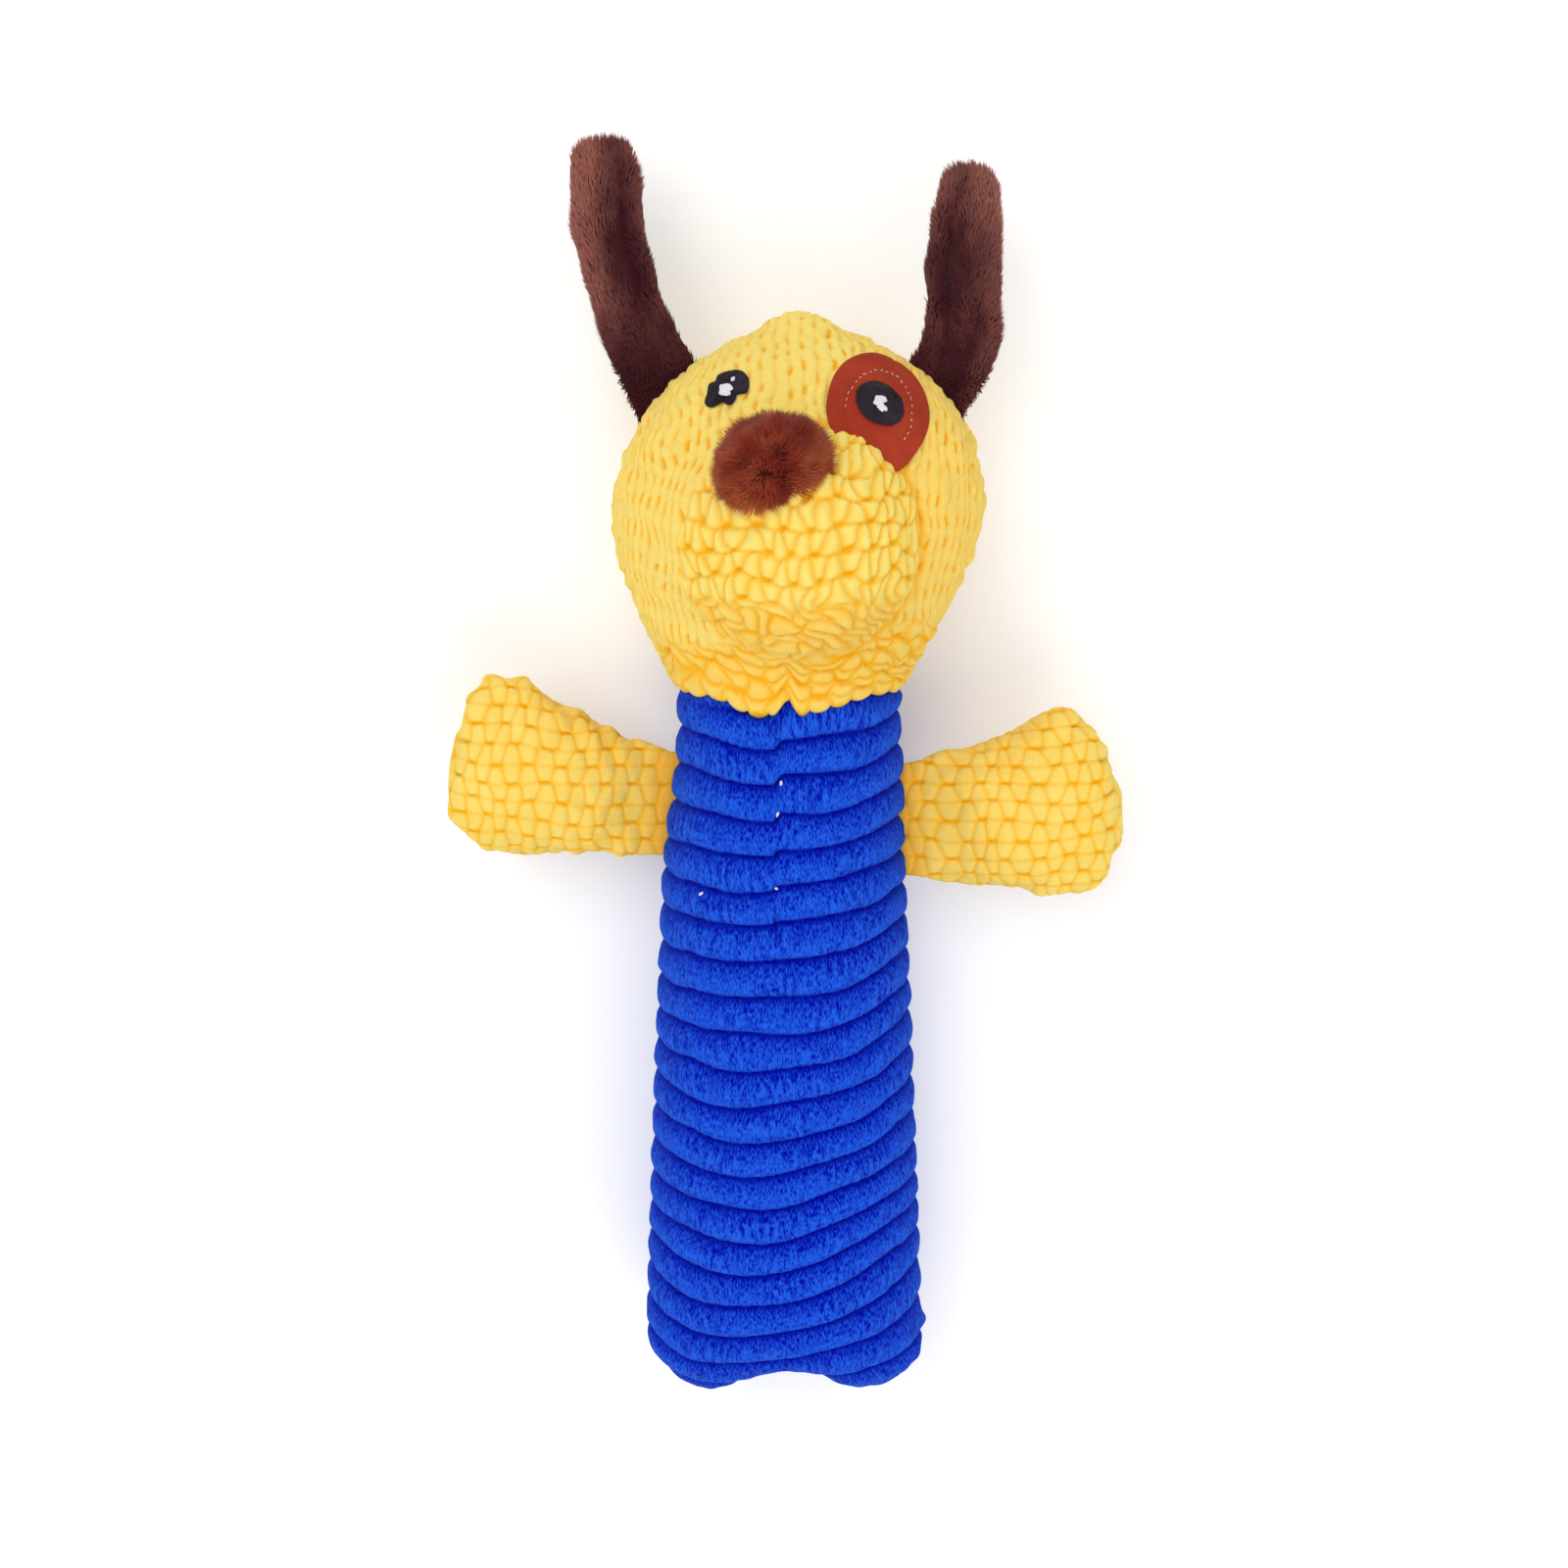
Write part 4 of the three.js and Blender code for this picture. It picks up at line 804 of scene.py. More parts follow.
def make_body():
    points = body_grid()
    piece, at = skin("body_ribbed_cloth", points)
    across, front = round_rings(points, AXIS_HEIGHT)
    x, y = points[..., 0], points[..., 1]
    slack = 1 - ((x - RIB_SAG_MIDDLE) / RIB_SAG_HALF_WIDTH) ** 2
    sag = RIB_SAG * smooth(-RIB_SAG_START, -BODY_LENGTH, y) * np.clip(slack, -1, 1)
    fade = smooth(SEAM_FOOT, SEAM_TOP - 16, y) * front
    seam_across = np.interp(y, [SEAM_FOOT, SEAM_TOP], SEAM_ACROSS[::-1])
    step = SEAM_RIB_STEP * fade * smooth(1.5, -1.5, x - seam_across) * smooth(-26, -6, x)
    wander = rolling(points, RIB_WANDER)
    left = RIB_LEFT_FALL * smooth(*RIB_LEFT_SPAN, y) * np.clip(-x / CHEST_HALF_WIDTH, 0, 1) ** CHEST_CURVE
    right = RIB_RIGHT_RISE * bell((y - RIB_RIGHT_MIDDLE) / RIB_RIGHT_HALF_LENGTH)
    right *= np.clip(x / CHEST_HALF_WIDTH, 0, 1) ** CHEST_CURVE
    at_left, at_middle, at_right = (along_table(RIB_SHIFT_PLACES, shifts, y) for shifts in zip(*RIB_SHIFTS))
    t = np.clip(x / RIB_SHIFT_HALF_WIDTH, -1.15, 1.35)
    shifted = at_middle + (at_right - at_left) / 2 * t + ((at_right + at_left) / 2 - at_middle) * t ** 2
    run = RIB_START - y - sag - step + (right - left + shifted) * smooth(3, 24, points[..., 2]) + wander
    phase = run / RIB_PITCH
    rib = phase - np.floor(phase)
    bulge = (1 - np.abs(2 * rib ** RIB_LEAN - 1) ** 3) ** RIB_ROUNDNESS
    number = np.floor(phase)
    fuller = lot(number, 0, 3) * (0.5 + 0.5 * waves(points, 60, 4))
    fullness = RIB_LEAST_FULLNESS + RIB_FULLNESS_RANGE * fuller
    relief = RIB_RELIEF * fullness * (bulge - 1)
    relief *= smooth(DOME_FOOT + 6, DOME_FOOT - 2, y)
    relief *= pressed(points, *BODY_PRESSED)
    pleat = groove(np.abs(x - seam_across), SEAM_HALF_WIDTH)
    on_seam = smooth(SEAM_FOOT - 4, SEAM_FOOT + 12, y) * front * (y < SEAM_TOP + 4)
    relief -= SEAM_DEPTH * (1 - pleat) * on_seam
    relief += rolling(points, PLUSH_LUMPS)
    nub_x, nub_y, nub_radius, nub_height = HEM_NUB
    nub = np.hypot(x - nub_x, y - nub_y) + 0.3 * np.abs(points[..., 2] - AXIS_HEIGHT)
    relief += nub_height * bell(nub / nub_radius)
    moved = points[at] + normals_of(piece) * relief[at][:, None]
    put(piece, rest_on_ground(moved))
    mark(piece, "rib", rib[at])
    # painted shade: the depth mark deepens the plush colour in each fold and along the seam's pleat
    mark(piece, "depth", np.clip(1 - bulge + (1 - pleat) * on_seam * 0.4, 0, 1)[at])
    lay_cloth(piece, across[at], run[at])
    return dress(piece, "body", "ribbed_plush", PLUSH, "body_front_panel", "body_back_panel",
                 "body_stuffing_front", "body_stuffing_back")


# Knit

def knit(p, q, period, row_height, seed, slant=0.03, taper=0.07, side_share=0.35, row_share=0.14,
         radius=1.3, side_line=0.34, row_line=0.26, line_width=0.34, dash=0.7, dash_size=(1.3, 0.42),
         stagger=0.5, drift=0, arch=0.15, uneven=0.3, corner=0):
    """The height of knitted loops from 0 to 1, and how deep in a groove each place lies. p runs along the
    rows and q across them. Loops that stand in a row taper upwards, with others hanging between them, and a
    dent marks where a hanging one ends."""
    def loops(number):
        shift = drift * number + stagger * np.mod(number, 2)
        return p / period + shift + 0.14 * (lot(number, 1, seed) - 0.5)

    line = np.rint(q / row_height)
    off = q / row_height - line
    lifted = arch * (0.5 + 0.5 * np.cos(2 * np.pi * loops(line))) * np.cos(np.pi * off) ** 2
    level = (q + lifted) / row_height
    row = np.floor(level)
    v = level - row
    u = loops(row)
    near = u - np.rint(u)
    half = np.clip(0.25 - slant * (2 * v - 1) - taper * (2 * v - 1) ** 3, 0.02, 0.48)
    side = np.abs(np.abs(near) - half) * period
    height = np.minimum(v, 1 - v) * row_height
    loop = np.rint(u) + np.where(np.abs(near) < half, 0, 0.5)
    puff = 0.88 + 0.12 * lot(loop, row, seed + 5)
    shape = (1 - side_share * (1 - pillow(side, radius))) * (1 - row_share * (1 - pillow(height, radius)))
    shape *= (0.9 + 0.1 * pillow(side, 3)) * (1 - corner * np.exp(-(side ** 2 + height ** 2) / 0.95 ** 2))
    hanging = loops(np.rint(level))
    end = (0.5 - np.abs(hanging - np.rint(hanging))) * period
    below = (level - np.rint(level)) * row_height
    strength = 1 - uneven * lot(np.floor(hanging), np.rint(level), seed + 9)
    dent = strength * np.exp(-(end / dash_size[0]) ** 4 - (below / dash_size[1]) ** 2)
    side_line = side_line * (0.6 + 0.4 * np.abs(2 * v - 1))
    depth = np.maximum(bell(side / line_width) * side_line, bell(height / line_width) * row_line)
    return shape * puff - dash * dent, np.clip(np.maximum(depth, dent) + 0.75 * (1 - shape), 0, 1)


def blobs(p, q, width, height, seed):
    """The height of crowded uneven blobs of yarn, and how deep in a groove each place lies."""
    column, row = np.floor(p / width), np.floor(q / height)
    distances, places = [], []
    for step_row in (-1, 0, 1):
        for step in (-1, 0, 1, 2):
            r = row + step_row
            c = column + step
            x = (c + 0.2 + 0.6 * lot(c, r, seed) - 0.5 * np.mod(r, 2)) * width
            y = (r + 0.25 + 0.5 * lot(c, r, seed + 1)) * height
            places.append(np.stack([x, y], -1))
            distances.append(((x - p) / width) ** 2 + ((y - q) / height) ** 2)
    distances, places = np.stack(distances), np.stack(places)
    order = np.argsort(distances, axis=0)[:2]
    first, second = np.take_along_axis(distances, order, 0)
    near, next_near = np.take_along_axis(places, order[..., None], 0)
    gap = np.linalg.norm((next_near - near) / [width, height], axis=-1)
    edge = (second - first) / (2 * gap + 1e-6) * (width + height) / 2
    shape = 0.25 + 0.75 * pillow(edge, 2.4)
    depth = bell(edge / 0.6) * 0.5 * smooth(0.3, 1, lot(near[..., 0], near[..., 1], seed + 2))
    puff = 0.85 + 0.15 * lot(near[..., 1], near[..., 0], seed + 3)
    return shape * puff, np.clip(depth + 0.6 * (1 - shape), 0, 1)


# Arms

def arm_root(arm):
    ends = []
    for below in (arm["below_neck"] - ARM_ROOT_HALF_HEIGHT, arm["below_neck"] + ARM_ROOT_HALF_HEIGHT):
        ends.append(np.array([arm["side"] * body_half_width(below), -below, AXIS_HEIGHT]))
    along = (ends[0] - ends[1]) / np.linalg.norm(ends[0] - ends[1])
    return (ends[0] + ends[1]) / 2, along


def make_arm(name):
    """One arm: one knitted piece for its two covers and their stuffing, flat where they are sewn to the body.
    """
    arm = ARMS[name]
    middle, along = arm_root(arm)
    out = np.array([along[1], -along[0], 0]) * arm["side"]
    reach = np.linspace(-ARM_SUNK, ARM_LENGTH, ARM_ROWS - ARM_END_ROWS)
    share = reach / ARM_LENGTH
    spread, closing, thick = (along_table(ARM_ALONG_SHARES, shares, share)
                              for shares in (arm["spread"], ARM_CLOSING_SHARES, ARM_THICKNESS_SHARES))
    tip = np.sqrt(np.clip((1 - share) / (1 - ARM_ALONG_SHARES[-1]), 0, 1))
    closing, thick = closing * tip, thick * tip
    cut = smooth(0.72, 1, share)
    rise = (arm["root"] + (arm["rise"] - arm["root"]) * spread) * closing * (1 - arm["rise_cut"] * cut)
    dropped = np.maximum(spread, 0) ** (1 + (arm["drop_power"] - 1) * smooth(0.02, 0.14, share))
    drop = (arm["root"] + (arm["drop"] - arm["root"]) * dropped) * closing * (1 - arm["drop_cut"] * cut)
    start = np.linspace(0, 1, ARM_END_ROWS, endpoint=False)
    reach = np.concatenate([np.full(len(start), reach[0]), reach])
    rise = np.concatenate([rise[0] * start, rise])
    drop = np.concatenate([drop[0] * start, drop])
    thick = np.concatenate([thick[0] * np.sqrt(start), thick]) * ARM_HALF_THICKNESS
    turn = around(ARM_COLUMNS)
    shift = ((rise - drop) / 2)[:, None]
    shift[ARM_END_ROWS:] -= ARM_PAW_FALL * spread[:, None]
    wide = np.sin(turn) * ((rise + drop) / 2)[:, None] + shift
    points = middle + reach[:, None, None] * out + wide[..., None] * along
    points[..., 2] += np.cos(turn) * thick[:, None]
    piece, at = skin(f"{name}_knit", points)
    round_run, front = round_rings(points, AXIS_HEIGHT)
    seed = arm["seed"]
    p = reach[:, None] + 0.8 * waves(points, 17, seed) + np.where(front, 0, 2.5)
    q = shift + round_run + 0.7 * waves(points, 21, seed + 1)
    height, depth = knit(p, q, seed=seed, slant=arm["slant"], row_line=arm["row_line"], **KNITS["arm"])
    relief = ARM_RELIEF * smooth(-3, -1, reach)[:, None] * (height - 0.9)
    lumps = 0.35 * waves(points, 14, seed + 2)
    lumps += (0.12 + 0.4 * (1 - np.abs(np.cos(turn)))) * waves(points, 7, seed + 3)
    relief += lumps * smooth(2, 10, reach)[:, None]
    put(piece, points[at] + normals_of(piece) * relief[at][:, None])
    # painted shade: deeper groove colour over the whole arm, and a warm shade that grows towards the body
    mark(piece, "depth", depth[at] + ARM_GROOVE_SHADE)
    shade = ARM_SHADE + ARM_MIDDLE_SHADE * smooth(40, 10, reach) + ARM_ROOT_SHADE * smooth(8, 0, reach)
    mark(piece, "shade", shade[at[0]])
    lay_cloth(piece, p[at], q[at])
    return dress(piece, name, "knit", KNIT, f"{name}_front", f"{name}_back", f"{name}_stuffing")


# Head

def head_half(share, greatest):
    spread = along_table(HEAD_LENGTH_SHARES, HEAD_SPREAD_SHARES, share)
    least = np.where(share < HEAD_WIDEST_SHARE, NECK_RADIUS, 0)
    full = (RIM_HALF_WIDTH - NECK_RADIUS) * smooth(0.1, 0, share)
    return least + (greatest - least) * spread + full


def head_centre(share):
    moved = smooth(0, HEAD_WIDEST_SHARE, share)
    up = AXIS_HEIGHT + (HEAD_MIDDLE_HEIGHT - AXIS_HEIGHT) * moved
    return np.stack([HEAD_SIDE_SHIFT * moved, RIM_ABOVE_NECK + HEAD_LENGTH * share, up], -1)


def head_middle(share):
    """The middle of a ring of the knitted head, which leans a little to the right further up."""
    centre = head_centre(share)
    centre[..., 0] += np.interp(share, HEAD_LEAN_SHARES, HEAD_LEANS)
    return centre


def face_height(x, y):
    """The height of the head's surface over a place on it, without its muzzle."""
    share = np.clip((y - RIM_ABOVE_NECK) / HEAD_LENGTH, 0, 0.995)
    centre = head_middle(share)
    reach = (x - centre[..., 0]) / head_half(share, HEAD_HALF_WIDTH)
    return centre[..., 2] + head_half(share, HEAD_HALF_DEPTH) * np.sqrt(np.clip(1 - reach ** 2, 0.002, 1))


def head_grid():
    """Rings from the top of the socket, down round the ragged rim, and up to the crown, as a grid of places,
    with each place's share of the head's length and its run from the rim."""
    turn = around(HEAD_COLUMNS)
    turn = turn - HEAD_FRONT_CROWDING * np.sin(turn)
    lobe = (turn * RIM_SCALLOPS / 2 + 1.1 * np.sin(3 * turn)) / np.pi
    scallop = np.abs(np.sin(np.pi * lobe)) ** RIM_SCALLOP_ROUNDNESS
    circle = np.stack([np.sin(turn), np.cos(turn)], -1) * NECK_RADIUS
    rim = RIM_HEIGHT - RIM_SCALLOP_DEPTH * scallop + RIM_WAVE * waves(circle, 26, 40)
    rim += RIM_SIDE_RISE * (1 - np.clip(np.cos(turn), 0, 1) ** 2)
    ahead = np.cos(turn) > 0
    for place, width, rise in RIM_LOBES:
        rim += ahead * rise * bell((circle[:, 0] - place) / width)
    outer_rows = HEAD_ROWS - SOCKET_ROWS
    fine = np.linspace(0, 1, 1500)
    side = np.stack([fine * HEAD_LENGTH, head_half(fine, HEAD_HALF_DEPTH)], -1)
    run = lengths_along(side, 0)
    crowd = 1 + 0.5 * smooth(0.05, 0.2, fine) * smooth(0.85, 0.7, fine)
    eased = np.concatenate([[0], np.cumsum(crowd[1:] * np.diff(run))])
    share = np.interp(np.linspace(0, eased[-1], outer_rows + 1), eased, fine)
    rim_share = (rim - RIM_ABOVE_NECK) / HEAD_LENGTH
    share = share[:, None] + rim_share * (1 - share[:, None]) ** 8
    centre = head_middle(share)
    inner = np.sqrt(SOCKET_RADIUS ** 2 - rim ** 2)
    up_from_rim = (share - rim_share) * HEAD_LENGTH
    curl = groove(up_from_rim, RIM_ROUNDING)
    half_width = inner + (head_half(share, HEAD_HALF_WIDTH) - inner) * curl
    half_depth = inner + (head_half(share, HEAD_HALF_DEPTH) - inner) * curl
    outer = centre.copy()
    outer[..., 0] += half_width * np.sin(turn)
    outer[..., 2] += half_depth * np.cos(turn)
    level = np.linspace(0, 1, SOCKET_ROWS, endpoint=False)[:, None]
    latitude = np.pi / 2 * (1 - level) + np.arcsin(rim / SOCKET_RADIUS) * level
    inside = np.stack([
        SOCKET_RADIUS * np.cos(latitude) * np.sin(turn),
        SOCKET_RADIUS * np.sin(latitude),
        AXIS_HEIGHT + SOCKET_RADIUS * np.cos(latitude) * np.cos(turn),
    ], -1)
    grid = np.concatenate([inside, outer])
    share = np.concatenate([np.zeros_like(latitude), share])
    grid[..., 0] += NECK_SHIFT * smooth(0.35, 0, share)
    return grid, share, np.interp(share, fine, run), lobe


def clear_of_socket(places, low):
    """Places on the outside of the head, kept off the socket behind them. low is their run from the rim."""
    away = places - [NECK_SHIFT, 0, AXIS_HEIGHT]
    far = np.linalg.norm(away, axis=-1)
    least = SOCKET_CLEARANCE * smooth(0, 1.5, low)
    room = 0.1 + 1.1 * smooth(0, 3, low)
    gap = far - SOCKET_RADIUS
    eased = least + room * np.exp(np.minimum(gap - least - room, 0) / room)
    return places + away * ((np.where(gap < least + room, eased, gap) - gap) / far)[..., None]


def swell_muzzle(points):
    """Pushes the front of the head out to the muzzle. Gives the places, how far the muzzle stands over the
    face there, and how softly the two blend."""
    away = points - MUZZLE_ROOT
    far = np.linalg.norm(away, axis=-1)
    way = away / far[..., None]
    start = (MUZZLE_ROOT - MUZZLE_MIDDLE) / MUZZLE_HALF
    step = way / MUZZLE_HALF
    a = (step ** 2).sum(-1)
    b = (step * start).sum(-1)
    c = (start ** 2).sum() - 1
    side = np.degrees(np.arctan2(away[..., 1], away[..., 0]))
    ball_far = (-b + np.sqrt(b ** 2 - a * c)) / a
    sideways = np.hypot(way[..., 0], way[..., 1])
    ball_far *= 1 + MUZZLE_SWELL * sideways * bell((side - MUZZLE_SWELL_DEG) / 45)
    soft = np.interp(side, MUZZLE_BLEND_DEGS, MUZZLE_BLENDS)
    stands = ball_far - far
    near = np.clip(soft - np.abs(stands), 0, None)
    swollen = np.maximum(ball_far, far) + near ** 2 / (4 * soft)
    ahead = points[..., 2] > MUZZLE_ROOT[2]
    grown = np.where(ahead, swollen, far)
    return MUZZLE_ROOT + way * grown[..., None], np.where(ahead, stands, -20), soft


def make_head():
    """The knitted head: the face in upright rows, the muzzle and chin in level ones."""
    points, share, run, lobe = head_grid()
    across, front = round_rings(points, head_middle(share)[..., 2])
    swollen, stands, soft = swell_muzzle(points)
    outside = np.arange(points.shape[0])[:, None] >= SOCKET_ROWS
    swollen = np.where(outside[..., None], swollen, points)
    warp_p, warp_q = (rolling(swollen, given) for given in HEAD_WARPS)
    brick = 0.5 * smooth(62, 84, swollen[..., 1])
    face, face_depth = knit(run + warp_p, across + warp_q, stagger=brick, **KNITS["face"])
    bulb = unit((swollen - MUZZLE_MIDDLE) / MUZZLE_HALF)
    latitude = np.arcsin(np.clip(bulb[..., 1], -1, 1))
    longitude = np.arctan2(bulb[..., 0], bulb[..., 2])
    low_chin = smooth(-0.35, -0.6, latitude)
    p = MUZZLE_HALF[0] * longitude * np.cos(latitude) + warp_p * (1 + low_chin)
    q = MUZZLE_HALF[0] * latitude + warp_q * (1 + 0.8 * low_chin)
    muzzle, muzzle_depth = knit(p, q, **KNITS["muzzle"])
    squashed, squashed_depth = blobs(p + 0.3 * q, q + 0.3 * p, BLOB_WIDTH, BLOB_HEIGHT, 60)
    muzzle += (squashed - muzzle) * low_chin
    muzzle_depth += (squashed_depth - muzzle_depth) * low_chin
    low = run - run[SOCKET_ROWS]
    free = smooth(1, 10, low)
    from_front = np.mod(lobe + RIM_SCALLOPS / 2, RIM_SCALLOPS) - RIM_SCALLOPS / 2
    at_rim = np.where(front, from_front, np.sign(from_front) * RIM_SCALLOPS / 2 - from_front) + 0.5
    chin_p = at_rim * KNITS["chin"]["period"] / 2 * (1 - free) + (across + 0.9 * warp_p) * free + 0.25 * low
    chin, chin_depth = knit(chin_p, low + (warp_q + 0.15 * across * front) * free, **KNITS["chin"])
    on_muzzle = smooth(-0.5, 3, stands)
    height = swollen[..., 1] + 4 * waves(swollen, 30, 58)
    on_chin = (1 - on_muzzle) * smooth(CHIN_TOP + 4, CHIN_TOP - 4, height)
    on_face = 1 - on_muzzle - on_chin
    relief = FACE_RELIEF * on_face * (face - 0.9) + MUZZLE_RELIEF * on_muzzle * (muzzle - 0.9)
    relief += CHIN_RELIEF * on_chin * (chin - 0.9)
    relief += 0.3 * waves(swollen, 13, 59) + 0.3 * waves(swollen, 5, 50) * smooth(60, 45, swollen[..., 2])
    # painted shade: deeper colour in the grooves and the crease round the muzzle, and over the muzzle and
    # chin
    depth = FACE_GROOVE_SHADE_SHARE * face_depth * on_face + muzzle_depth * on_muzzle + chin_depth * on_chin
    crease = bell(stands / CREASE_HALF_WIDTH) * smooth(8, 3, soft)
    depth += CREASE_GROOVE_SHADE * crease + MUZZLE_GROOVE_SHADE * on_muzzle + CHIN_GROOVE_SHADE * on_chin
    relief -= CREASE_DEPTH * crease
    relief += 0.9 * smooth(0.96, 1, share)
    relief *= smooth(-1, 5, low)
    relief *= pressed(points, *HEAD_PRESSED)
    piece, at = skin("head_knit", swollen)
    moved = clear_of_socket(swollen[at] + normals_of(piece) * relief[at][:, None], low[at])
    moved = np.where(at[0][:, None] >= SOCKET_ROWS, moved, points[at])
    put(piece, rest_on_ground(moved))
    mark(piece, "depth", np.clip(depth, 0, 1)[at])
    # painted shade: warmer on the cheeks, under the muzzle, on the chin and a little over the whole face
    x = points[..., 0]
    cheeks = CHEEK_RIGHT_SHADE * smooth(14, 30, x) + CHEEK_LEFT_SHADE * smooth(-14, -30, x)
    shade = MUZZLE_FOOT_SHADE * on_muzzle * low_chin + CHIN_SHADE * on_chin * front
    shade += (FACE_SHADE + cheeks) * on_face
    mark(piece, "shade", shade[at])
    lay_cloth(piece, across[at], run[at])
    return dress(piece, "head", "knit", KNIT, "head_face_panel", "head_back_panel", "head_stuffing",
                 "muzzle_panel", "muzzle_stuffing")


# Eyes and patch

def plate_rings(count, rounding):
    """Reach and height shares of a flat piece, from the middle of its underside round to the top."""
    flat = np.linspace(0, 1 - rounding, count)
    edge = np.linspace(-np.pi / 2, np.pi / 2, 7)[1:-1]
    reach = np.concatenate([flat, 1 - rounding + rounding * np.cos(edge), flat[::-1]])
    height = np.concatenate([-np.ones(count), np.sin(edge), np.ones(count)])
    return reach, height


def turned(shape, u, v):
    """The place across and up of a point of a shape that is turned about its middle."""
    angle = math.radians(shape["turn"])
    return (shape["across"] + u * math.cos(angle) - v * math.sin(angle),
            shape["up"] + u * math.sin(angle) + v * math.cos(angle))


def on_face_grid(shape, lift, thickness, grid, outline, crown=0):
    """A thin piece laid over the face, as a grid of places with its reach from its own middle."""
    columns, rings = grid
    reach, height = plate_rings(rings, 0.06)
    turn = around(columns)
    edge = outline(turn)
    u = reach[:, None] * edge * np.cos(turn) * shape["half_width"]
    v = reach[:, None] * edge * np.sin(turn) * shape["half_height"]
    x, y = turned(shape, u, v)
    rise = thickness * (1 + height[:, None]) / 2 + crown * (1 - reach[:, None] ** 2) * (height[:, None] > 0)
    z = face_height(x, y) + lift + rise
    return np.stack([x, y, z], -1), u, v, height[:, None] > 0


def make_patch():
    """The felt patch round the right eye, with its sewn edge pressed down a little."""
    outline = partial(reach_at, PATCH_EDGE)
    points, u, v, top = on_face_grid(PATCH, ON_FACE_LIFT, PATCH_THICKNESS, PATCH_GRID, outline)
    reach = np.hypot(u / PATCH["half_width"], v / PATCH["half_height"])
    points[..., 2] -= top * PATCH_SEWN_DEPTH * bell((reach - STITCH_REACH) / PATCH_SEWN_HALF_WIDTH)
    points[..., 2] += top * PATCH_LUMP_HEIGHT * waves(points, 6, 61)
    piece, _ = skin("patch_felt_piece", points)
    return dress(piece, "head", "patch_felt", FELT, "eye_patch")


def make_threads(name, ends, thickness, body, slot, material):
    """Short lengths of thread, each a small rounded rod between two places, as one piece."""
    made = []
    for start, end in ends:
        start, end = Vector(start), Vector(end)
        bpy.ops.mesh.primitive_uv_sphere_add(segments=8, ring_count=6, radius=1)
        rod = bpy.context.object
        rod.rotation_mode = "QUATERNION"
        rod.rotation_quaternion = (end - start).to_track_quat("Z", "Y")
        rod.scale = Vector((thickness / 2, thickness / 2, (end - start).length / 2)) * MM
        rod.location = (start + end) / 2 * MM + Vector(NECK_ON_GROUND)
        made.append(rod)
    for rod in made:
        rod.select_set(True)
    bpy.context.view_layer.objects.active = made[0]
    bpy.ops.object.join()
    piece = bpy.context.object
    bpy.ops.object.transform_apply(location=True, rotation=True, scale=True)
    piece.data.shade_smooth()
    piece.select_set(False)
    piece.name = name
    piece.data.name = name
    return dress(piece, body, slot, material)


def make_stitches():
    """The broken line of white stitches near the edge of the patch."""
    chance = np.random.default_rng(62)
    ends = []
    for turn in np.arange(math.radians(STITCH_FROM_DEG), math.radians(STITCH_TO_DEG), STITCH_STEP_SHARE):
        pair = []
        for part in (0, 0.5 + 0.22 * chance.uniform(-1, 1)):
            here = turn + STITCH_STEP_SHARE * part
            reach = STITCH_REACH + 0.022 * chance.uniform(-1, 1)
            x, y = turned(PATCH, reach * math.cos(here) * PATCH["half_width"],
                          reach * math.sin(here) * PATCH["half_height"])
            pair.append((x, y, float(face_height(x, y)) + PATCH_THICKNESS + STITCH_LIFT))
        ends.append(pair)
    return make_threads("patch_stitches", ends, STITCH_THICKNESS, "head", "glint_thread", STITCH_THREAD)


def ragged(seed, lobes, depth):
    """An uneven outline of lobes, as the ends of satin stitches give."""
    def outline(turn):
        circle = np.stack([np.cos(turn), np.sin(turn)], -1)
        lobed = np.abs(np.sin(turn * lobes / 2 + 0.8 * np.sin(2 * turn + seed)))
        return 1 + depth * (lobed - 0.6) + depth * 0.7 * waves(circle * 3, 2.2, seed)
    return outline


def make_eye(name, shape, lift, outline, stitch_degs, node):
    """A dark eye of satin stitches that stand a little over the cloth."""
    points, u, v, top = on_face_grid(shape, lift, EYE_THICKNESS, EYE_GRID, outline, EYE_CROWN)
    across = u * math.cos(math.radians(stitch_degs)) + v * math.sin(math.radians(stitch_degs))
    satin = np.sin(across * 2 * np.pi / SATIN_PITCH + 1.5 * waves(points, 4, 63))
    points[..., 2] += top * (SATIN_HEIGHT * satin + EYE_LUMP_HEIGHT * waves(points, 2.2, 64))
    piece, _ = skin(name, points)
    return dress(piece, "head", "eye_thread", DARK_THREAD, node)


def make_glint(name, shape, lift, outline, nodes):
    points, u, v, top = on_face_grid(shape, lift, GLINT_THICKNESS, GLINT_GRID, outline, GLINT_CROWN)
    points[..., 2] += top * GLINT_SATIN_HEIGHT * np.sin(u * 2 * np.pi / GLINT_PITCH)
    piece, _ = skin(name, points)
    return dress(piece, "head", "glint_thread", WHITE_THREAD, *nodes)


def make_eyes():
    on_patch = ON_FACE_LIFT + PATCH_THICKNESS
    right_degs, left_degs = EYE_STITCH_DEGS
    left_edge = partial(reach_at, EYE_LEFT_EDGE)
    make_eye("eye_right_satin", EYE_RIGHT, on_patch, ragged(2, 26, 0.02), right_degs, "eye_right")
    make_eye("eye_left_satin", EYE_LEFT, EYE_LEFT_LIFT, left_edge, left_degs, "eye_left")
    for name, eye, (across, up, half_width, half_height, turn), lift in GLINTS:
        shape = {"across": eye["across"] + across, "up": eye["up"] + up, "turn": turn,
                 "half_width": half_width, "half_height": half_height}
        nodes = [name] if name.endswith("glint") else []
        make_glint(name + "_satin", shape, lift, ragged(7, 5, 0.14), nodes)


# Fur

